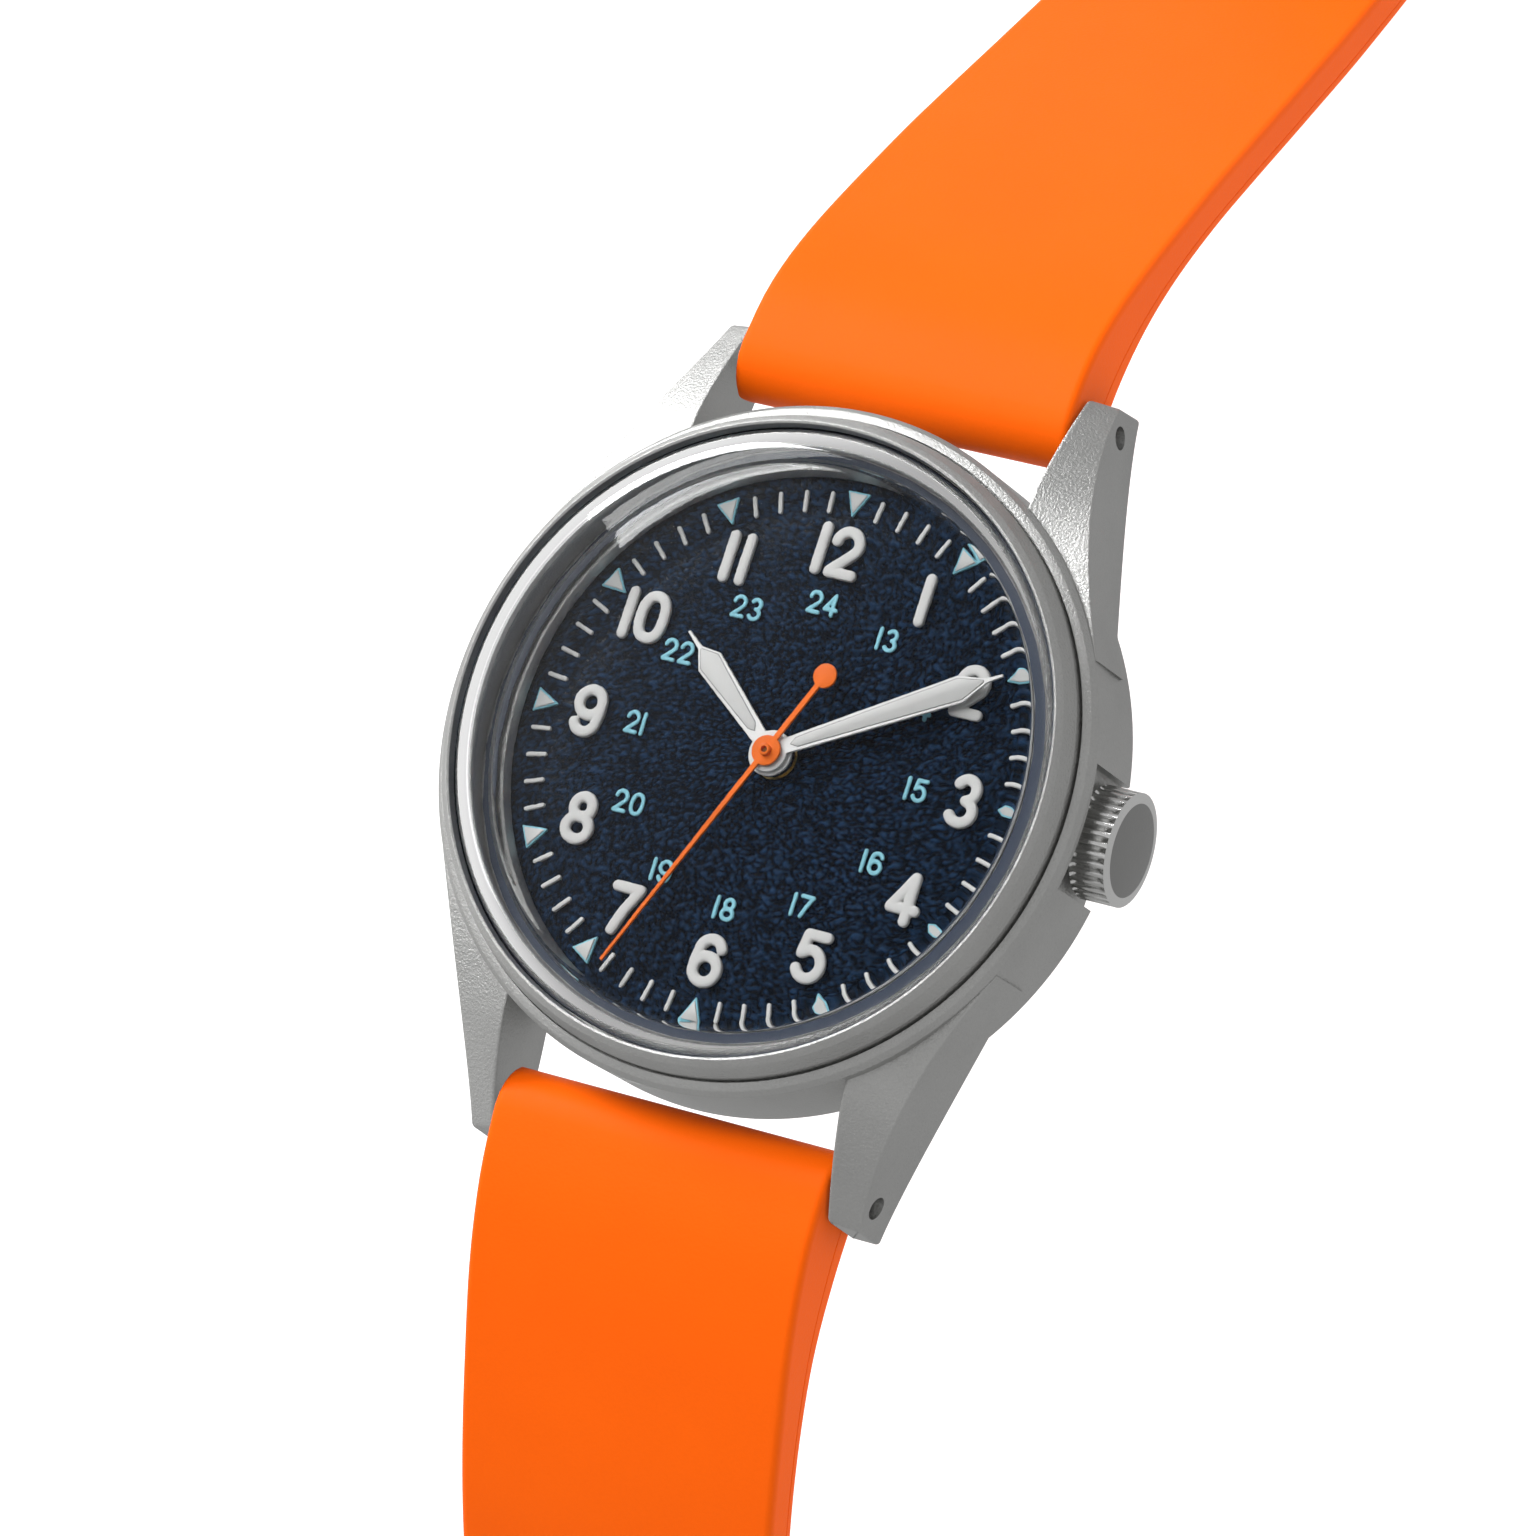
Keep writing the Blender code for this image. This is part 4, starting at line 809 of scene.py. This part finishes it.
def build_lance_hand(name, body, length, widest, at, neck, hub_r, bore_r, start, angle):
    """A lance hand with its panel, widest at one distance and a needle from its neck on."""
    low, high = (corner.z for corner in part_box(name))
    soft = 0.04 * MM
    blade = plate(lance(length, widest, at, neck, 0.42 * MM), low, high, soft)
    hub = turned(rounded(((0.0, low), (hub_r, low), (hub_r, high, soft), (0.0, high))), SMALL_ROUND)
    bore = rod(bore_r, low - MM, high + MM)
    bm = turn_plan(worked(blade, [hub], [bore]), angle)
    slot = "white_lacquer"
    piece(f"{name}_body", bm, HAND_WHITE, slot, body, name, crease=32.0, even=True)
    outline = panel(widest, at, neck, start, 0.35 * MM)
    # The thin rim round the panel, coloured grey as painted shade of the groove there.
    line = turn_plan(plate(grown(outline, 0.035 * MM), high - 0.05 * MM, high + 0.012 * MM, 0.01 * MM), angle)
    piece(f"{name}_panel_rim_shade", line, GROOVE_SHADE_GREY, slot, body, crease=40.0)
    fill = turn_plan(plate(outline, high - 0.05 * MM, high + 0.04 * MM, 0.03 * MM), angle)
    piece(f"{name}_panel", fill, LUME, slot, body, crease=40.0)


def build_seconds_hand():
    low, high = (corner.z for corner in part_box("seconds_hand"))
    soft = 0.035 * MM
    stem_half = 0.16 * MM
    tip_half = 0.09 * MM
    weight_y = -5.0 * MM
    stem = [(stem_half, weight_y), (stem_half, 0.0), (tip_half, 14.1 * MM)]
    stem += [(-x, y) for x, y in reversed(stem)]
    hub_r = 0.83 * MM
    hub = rounded(((0.0, low), (hub_r, low), (hub_r, high, 0.06 * MM), (0.0, high)))
    boss_r = 0.33 * MM
    boss_top = high + 0.24 * MM
    boss = rounded(((0.0, low), (boss_r, low), (boss_r, boss_top, 0.08 * MM), (0.0, boss_top)))
    weight = rod(0.67 * MM, low, high, centre=(0.0, weight_y, 0.0), edge=soft)
    bodies = [turned(hub, SMALL_ROUND), turned(boss, SMALL_ROUND), weight]
    bore = rod(0.18 * MM, low - MM, boss_top + MM)
    hand = turn_plan(worked(plate(stem, low, high, soft), bodies, [bore]), SECONDS_HAND_ANGLE)
    piece("sweep_hand", hand, HAND_ORANGE, "orange_lacquer", "seconds_drive", "seconds_hand",
          crease=32.0, even=True)


def build_hands():
    build_lance_hand("hour_hand", "hour_drive", length=8.75 * MM, widest=1.55 * MM, at=6.5 * MM,
                     neck=7.55 * MM, hub_r=1.25 * MM, bore_r=0.97 * MM, start=1.6 * MM,
                     angle=HOUR_HAND_ANGLE)
    build_lance_hand("minute_hand", "minute_drive", length=13.55 * MM, widest=1.53 * MM, at=11.1 * MM,
                     neck=12.6 * MM, hub_r=1.1 * MM, bore_r=0.7 * MM, start=1.35 * MM,
                     angle=MINUTE_HAND_ANGLE)
    build_seconds_hand()
    low = DIAL_TOP_Z + 0.03 * MM
    high = low + 0.4 * MM
    inner_r = 0.98 * MM
    outer_r = 1.2 * MM
    collar = rounded(((inner_r, low), (outer_r, low), (outer_r, high, 0.08 * MM), (inner_r, high)))
    piece("hour_hand_collar", turned(collar, 96), POLISHED, "polished_steel", "hour_drive", crease=40.0)


# -------- crown

def build_crown():
    """A fluted crown between two plain rims, with a hollow for the tube and a slightly domed end."""
    start = CROWN_LOW.x
    end = CROWN_HIGH.x - 0.28 * MM
    radius = (CROWN_HIGH.z - CROWN_LOW.z) / 2.0
    flutes = 34
    flute_depth = 0.28 * MM
    low = start + 0.12 * MM
    high = end - 0.10 * MM

    def flute(angle, reach, height):
        if reach < radius - 0.01 * MM or not low < height < high:
            return reach
        ends = min(1.0, (height - low) / (0.25 * MM), (high - height) / (0.45 * MM))
        wave = 0.5 - 0.5 * math.cos(flutes * angle)
        return reach - flute_depth * math.sqrt(max(0.0, ends)) * wave ** 2.4

    side = [(radius, low + (high - low) * step / 14) for step in range(15)]
    hollow_r = 1.5 * MM
    hollow_x = 19.15 * MM
    outline = [(hollow_r, start), (2.75 * MM, start), (2.85 * MM, start + 0.05 * MM)]
    outline += side
    outline += [(radius - 0.16 * MM, high + 0.05 * MM), (radius - 0.24 * MM, end - 0.03 * MM)]
    outline += [(radius - 0.36 * MM, end), (0.0, end), (0.0, hollow_x), (hollow_r, hollow_x)]
    centre = (0.0, 0.0, STEM_Z)
    bm = turned(outline, flutes * 14, "X", centre, flute)
    # The flutes use the lighter steel: painted highlight.
    piece("fluted_crown", bm, CROWN_STEEL_HIGHLIT, "polished_steel", "crown_and_stem", "crown", crease=50.0)
    cap_r = 2.5 * MM
    rise = 0.25 * MM
    root = end - 0.05 * MM
    cap = [(cap_r, root)]
    for step in range(17):
        share = (step / 16) ** 2
        cap.append((cap_r * (1.0 - share), end + rise * (1.0 - (1.0 - share) ** 2)))
    cap.append((0.0, root))
    # The domed end is in darker steel: painted shade, over a rougher finish.
    piece("crown_end", turned(cap, ROUND, "X", centre), MATTE_SHADED_STEEL, "polished_steel", "crown_and_stem")


# -------- strap

def smooth_route(points, steps):
    """A smooth line in the YZ plane through the route's own points."""
    first = [2.0 * points[0][k] - points[1][k] for k in range(2)]
    last = [2.0 * points[-1][k] - points[-2][k] for k in range(2)]
    knots = [Vector(p) for p in (first, *points, last)]
    route = []
    for index in range(1, len(knots) - 2):
        a, b, c, d = knots[index - 1:index + 3]
        for step in range(steps):
            t = step / steps
            spot = 2.0 * b + (c - a) * t + (2.0 * a - 5.0 * b + 4.0 * c - d) * t ** 2
            spot += (3.0 * b - 3.0 * c + d - a) * t ** 3
            route.append(spot * 0.5 * MM)
    route.append(Vector(points[-1]) * MM)
    return route


def place_on(route, distance):
    """Point and unit tangent at a distance along the route, straight on beyond either end."""
    if distance < 0.0:
        tangent = (route[1] - route[0]).normalized()
        return route[0] + tangent * distance, tangent
    walked = 0.0
    for first, second in zip(route, route[1:]):
        length = (second - first).length
        tangent = (second - first).normalized()
        if walked + length >= distance:
            return first + tangent * (distance - walked), tangent
        walked += length
    return route[-1] + tangent * (distance - walked), tangent


def half_thickness_at(distance):
    swell = STRAP_NOSE_R - STRAP_HALF_THICKNESS
    return STRAP_HALF_THICKNESS + swell * math.exp(-((distance / (8.5 * MM)) ** 2))


def strap_stations(route, end_nose_r):
    """(distance, half width, half thickness) from the round lug end to the far end."""
    length = sum((b - a).length for a, b in zip(route, route[1:]))
    stations = []
    angles = [4.0, 10.0, 18.0, 28.0, 40.0, 54.0, 70.0]
    for angle in angles:
        turn = math.radians(angle)
        reach = -STRAP_NOSE_R * math.cos(turn)
        thickness = STRAP_NOSE_R * math.sin(turn)
        stations.append((reach, STRAP_HALF_WIDTH, thickness))
    count = round(length / (0.9 * MM))
    tip_length = 9.0 * MM
    for step in range(count + 1):
        distance = length * step / count
        share = min(1.0, distance / TAPER_LENGTH)
        width = STRAP_HALF_WIDTH + (STRAP_END_HALF_WIDTH - STRAP_HALF_WIDTH) * share
        thickness = half_thickness_at(distance)
        if end_nose_r:
            near = min(1.0, max(0.0, (distance - length + 5.0 * MM) / (5.0 * MM)))
            thickness += (end_nose_r - thickness) * near ** 2
        else:
            over = max(0.0, distance - (length - tip_length)) / tip_length
            width *= math.sqrt(max(0.10, 1.0 - 0.97 * over ** 2))
        stations.append((distance, width, thickness))
    if end_nose_r:
        for angle in reversed(angles):
            turn = math.radians(angle)
            reach = length + end_nose_r * math.cos(turn)
            stations.append((reach, STRAP_END_HALF_WIDTH, end_nose_r * math.sin(turn)))
    return stations


def strap_section(width, thickness):
    """Strap section with soft edges and the mould's parting line low on each side."""
    soft = min(0.45 * MM, 0.6 * thickness)
    steps = 5
    outline = soft_box(width, thickness, soft, steps)
    upper = 2 * (steps + 1)
    part_z = -0.45 * thickness
    groove = min(0.05 * MM, 0.12 * thickness)
    right = [(width, part_z - groove), (width - groove, part_z), (width, part_z + groove)]
    left = [(-x, z) for x, z in reversed(right)]
    return outline[:upper] + [Vector(p) for p in left] + outline[upper:] + [Vector(p) for p in right]


def strap_body(route, end_nose_r):
    """A strap half along its route, with a round far end of the given radius or, for 0, a tip."""
    rings = []
    for distance, width, thickness in strap_stations(route, end_nose_r):
        centre, tangent = place_on(route, distance)
        normal = Vector((-tangent.y, tangent.x))
        if normal.y < 0.0:
            normal = -normal
        ring = []
        for across, up in strap_section(width, thickness):
            spot = centre + normal * up
            ring.append((across, spot.x, spot.y))
        rings.append(ring)
    return loft(rings)


def strap_half(name, node, route, end_nose_r, cuts, folded=False):
    """A strap half, kept out of the steel's reflections."""
    strap = worked(strap_body(route, end_nose_r), (), cuts, folded)
    half = piece(name, strap, RUBBER, "strap_rubber", node, node, crease=40.0, even=True)
    half.visible_glossy = False


def build_straps():
    bore_half = 12.0 * MM
    lug_bore_r = 1.0 * MM
    lug_bore = cross_bar(lug_bore_r, bore_half, SPRING_BAR_Y, SPRING_BAR_Z)
    buckle_bore = cross_bar(0.85 * MM, bore_half, BUCKLE_Y, BUCKLE_Z)
    slot = block((-1.6 * MM, 83.6 * MM, -31.0 * MM), (1.6 * MM, 92.0 * MM, -26.0 * MM))
    route = smooth_route(STRAP_12_PATH, 12)
    strap_half("strap_buckle_half", "strap_12", route, BUCKLE_NOSE_R, [lug_bore, buckle_bore, slot], True)

    route = smooth_route(STRAP_6_PATH, 12)
    holes = [cross_bar(lug_bore_r, bore_half, -SPRING_BAR_Y, SPRING_BAR_Z)]
    first_hole = 62.0 * MM
    hole_pitch = 6.5 * MM
    for step in range(8):
        centre, tangent = place_on(route, first_hole + hole_pitch * step)
        hole = rod(1.1 * MM, -3.0 * MM, 3.0 * MM)
        tilt = math.atan2(-tangent.y, -tangent.x)
        bmesh.ops.rotate(hole, verts=hole.verts, matrix=Matrix.Rotation(tilt, 3, "X"))
        bmesh.ops.translate(hole, verts=hole.verts, vec=(0.0, centre.x, centre.y))
        holes.append(hole)
    strap_half("strap_hole_half", "strap_6", route, 0.0, holes)


def build_spring_bars():
    """Two tubes with a groove near each end, and the pins that stick out of them."""
    for hour, side_y in (("12", 1), ("6", -1)):
        centre = (0.0, side_y * SPRING_BAR_Y, SPRING_BAR_Z)
        end = SPRING_BAR_HIGH.x
        radius = (SPRING_BAR_HIGH.z - SPRING_BAR_LOW.z) / 2.0
        groove = 0.12 * MM
        outline = [(0.5 * MM, -end), (radius - 0.1 * MM, -end), (radius, 0.1 * MM - end)]
        for side in (-1, 1):
            for shift in (-0.35, 0.0, 0.35):
                depth = groove if shift == 0.0 else 0.0
                outline.append((radius - depth, side * 7.0 * MM + shift * MM))
        outline += [(radius, end - 0.1 * MM), (radius - 0.1 * MM, end), (0.5 * MM, end)]
        bar = turned(outline, SMALL_ROUND, "X", centre)
        piece(f"spring_bar_{hour}_tube", bar, POLISHED, "polished_steel", "watch_case", f"spring_bar_{hour}")
        for side in ("left", "right"):
            node = f"spring_bar_{hour}_tip_{side}"
            low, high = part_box(node)
            pin = rod(0.4 * MM, low.x, high.x, axis="X", centre=centre, edge=0.14 * MM)
            body = f"bar_{hour}_tip_{side}"
            piece(f"{node}_pin", pin, POLISHED, "polished_steel", body, node, crease=50.0)


def build_keeper(node, body):
    """A moulded loop with soft edges, swept round its opening."""
    low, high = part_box(node)
    wall = 1.0 * MM
    half_x = high.x - wall / 2.0
    middle_z = (low.z + high.z) / 2.0
    half_z = (high.z - low.z) / 2.0 - wall / 2.0
    line = soft_box(half_x, half_z, 0.7 * MM, 8)
    half_length = (high.y - low.y) / 2.0
    middle_y = (low.y + high.y) / 2.0
    section = soft_box(wall / 2.0, half_length, 0.32 * MM, 4)
    rings = []
    for index, here in enumerate(line):
        ahead = line[(index + 1) % len(line)] - here
        behind = here - line[index - 1]
        out = (right_of(ahead) + right_of(behind)).normalized()
        out = -out if out.dot(here) < 0.0 else out
        ring = []
        for across, along in section:
            spot = here + out * across
            ring.append((spot.x, middle_y + along, middle_z + spot.y))
        rings.append(ring)
    piece(f"{node}_loop", loft(rings, closed=True), RUBBER, "strap_rubber", body, node, crease=50.0)


def bevelled(bm, width):
    obj = as_object("work bevel", bm)
    bevel = obj.modifiers.new("Bevel", "BEVEL")
    bevel.width = width
    bevel.segments = 3
    bevel.limit_method = "ANGLE"
    bevel.angle_limit = math.radians(30.0)
    bpy.context.view_layer.update()
    return evaluated(obj)


def flat_solid(outline, low, high):
    return loft([[(x, y, low) for x, y in outline], [(x, y, high) for x, y in outline]])


def build_buckle():
    low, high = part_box("buckle_frame")
    inner_x = 8.5 * MM
    inner_y = 96.6 * MM
    outer_x = high.x
    front_y = high.y
    corner = 2.2 * MM
    outline = [(inner_x, low.y), (outer_x, low.y)]
    outline += arc((outer_x - corner, front_y - corner), corner, 0.0, 90.0, 10)
    outline += arc((corner - outer_x, front_y - corner), corner, 90.0, 180.0, 10)
    outline += [(-outer_x, low.y), (-inner_x, low.y)]
    outline += [(-inner_x, inner_y), (inner_x, inner_y)]
    frame_body = bevelled(flat_solid([tuple(p) for p in outline], low.z, high.z), 0.35 * MM)
    hole_r = 0.72 * MM
    hole = cross_bar(hole_r, 12.0 * MM, BUCKLE_Y, BUCKLE_Z)
    frame_body = worked(frame_body, (), [hole])
    piece("buckle_ring", frame_body, STEEL, "case_steel", "buckle_frame", "buckle_frame",
          crease=32.0, even=True)

    bar = cross_bar(0.55 * MM, BUCKLE_BAR_HIGH.x, BUCKLE_Y, BUCKLE_Z, 0.12 * MM)
    piece("buckle_pin", bar, POLISHED, "polished_steel", "strap_12", "buckle_bar", crease=50.0)

    collar = cross_bar(1.25 * MM, 1.3 * MM, BUCKLE_Y, BUCKLE_Z, 0.15 * MM)
    blade_half = 0.95 * MM
    root_y = BUCKLE_Y - 0.3 * MM
    neck_y = 89.0 * MM
    tip_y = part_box("buckle_tongue")[1].y
    blade = block((-blade_half, root_y, BUCKLE_Z + 1.2 * MM), (blade_half, tip_y, BUCKLE_Z + 2.1 * MM))
    blade = bevelled(blade, 0.25 * MM)
    neck = block((-blade_half, root_y, BUCKLE_Z + 0.9 * MM), (blade_half, neck_y, BUCKLE_Z + 1.3 * MM))
    eye = cross_bar(hole_r, 2.0 * MM, BUCKLE_Y, BUCKLE_Z)
    tongue = worked(collar, [blade, neck], [eye])
    piece("buckle_prong", tongue, POLISHED, "polished_steel", "buckle_tongue", "buckle_tongue",
          crease=32.0, even=True)


# -------- floor, light and camera

def softbox(name, place, size, power):
    light = bpy.data.lights.new(name, "AREA")
    light.shape = "RECTANGLE"
    light.size = size
    light.size_y = size
    light.energy = power
    obj = bpy.data.objects.new(name, light)
    obj.location = place
    obj.rotation_euler = Vector(place).to_track_quat("Z", "Y").to_euler()
    bpy.context.scene.collection.objects.link(obj)
    return obj


def glow(tree, direction, edge, core, outside, inside):
    """Brightness that changes between the outside of a cone about a direction and its core."""
    place = add_node(tree, "ShaderNodeTexCoord")
    aim = add_node(tree, "ShaderNodeVectorMath")
    aim.operation = "DOT_PRODUCT"
    aim.inputs[1].default_value = Vector(direction).normalized()
    tree.links.new(place.outputs["Generated"], aim.inputs[0])
    spread = add_node(tree, "ShaderNodeMapRange", From_Min=edge, From_Max=core,
                      To_Min=outside, To_Max=inside)
    spread.interpolation_type = "SMOOTHSTEP"
    tree.links.new(aim.outputs["Value"], spread.inputs["Value"])
    return spread.outputs["Result"]


def build_world():
    """A soft grey room, bright on the left, with a dark flag that keeps reflections off the crystal."""
    world = bpy.data.worlds.new("Studio")
    world.use_nodes = True
    tree = world.node_tree
    background = tree.nodes["Background"]
    bright = glow(tree, (-0.93, 0.25, -0.15), edge=0.35, core=0.90, outside=0.42, inside=0.8)
    flag = glow(tree, (-0.42, 0.13, 0.90), edge=0.80, core=0.94, outside=1.0, inside=0.08)
    tree.links.new(math_node(tree, "MULTIPLY", bright, flag), background.inputs["Color"])
    background.inputs["Strength"].default_value = 1.0
    bpy.context.scene.world = world


def build_floor():
    """A plain white table under the strap's lowest point, lit from within so that no shadow shows."""
    half = 3.0
    level = CAD_BOUNDS[0].z - 0.05 * MM
    bm = bmesh.new()
    corners = ((-half, -half), (half, -half), (half, half), (-half, half))
    bm.faces.new([bm.verts.new((x, y, level)) for x, y in corners])
    floor = as_object("floor", bm)
    mat = surface("White table", (0.34, 0.34, 0.34), 0.8, grain=3.0 * MM, depth=0.02, tint=0.01)
    shader = principled(mat)
    shader.inputs["Emission Color"].default_value = (1.0, 1.0, 1.0, 1.0)
    shader.inputs["Emission Strength"].default_value = 1.0
    floor.data.materials.append(mat)
    floor.visible_glossy = False


def build_lights():
    """Three soft lights from the upper left.  The two large ones leave no veil on the crystal."""
    softbox("Key softbox", (-0.40, 0.32, 0.37), 0.22, 2.1)
    ceiling = softbox("Ceiling", (-0.34, 0.10, 0.72), 1.05, 1.6)
    ceiling.visible_transmission = False
    top = softbox("Top softbox", (-0.18, 0.20, 0.67), 0.40, 3.3)
    top.visible_glossy = False
    top.visible_transmission = False


def build_camera():
    """The camera looks from the right and slightly below, turned so that 12 o'clock leans left."""
    azimuth = math.radians(72.5)
    elevation = math.radians(62.3)
    roll = math.radians(-56.6)
    back = Vector((math.sin(azimuth) * math.cos(elevation), -math.cos(azimuth) * math.cos(elevation),
                   math.sin(elevation)))
    level_right = Vector((0.0, 0.0, 1.0)).cross(back).normalized()
    level_up = back.cross(level_right)
    right = level_right * math.cos(roll) + level_up * math.sin(roll)
    up = back.cross(right)
    aim = Vector((0.0, 0.0, 7.0 * MM))
    distance = 418.2 * MM
    place = aim + back * distance + right * 0.184 * MM - up * 0.982 * MM
    data = bpy.data.cameras.new("Camera")
    data.lens = 187.2
    data.sensor_width = 36.0
    data.clip_start = 0.01
    data.clip_end = 20.0
    camera = bpy.data.objects.new("Camera", data)
    turn = Matrix((right, up, back)).transposed().to_4x4()
    camera.matrix_world = Matrix.Translation(place) @ turn
    bpy.context.scene.collection.objects.link(camera)
    bpy.context.scene.camera = camera


def main():
    build_camera()
    build_world()
    build_lights()
    build_floor()
    dress_cad_nodes()
    build_case()
    build_bezel()
    build_crystal()
    build_rehaut()
    build_case_back()
    build_dial()
    build_numbers()
    build_minute_marks()
    build_hands()
    build_crown()
    build_straps()
    build_spring_bars()
    build_keeper("fixed_keeper", "strap_12")
    build_keeper("loose_keeper", "loose_keeper")
    build_buckle()
    bpy.context.scene.view_settings.view_transform = "Standard"


main()
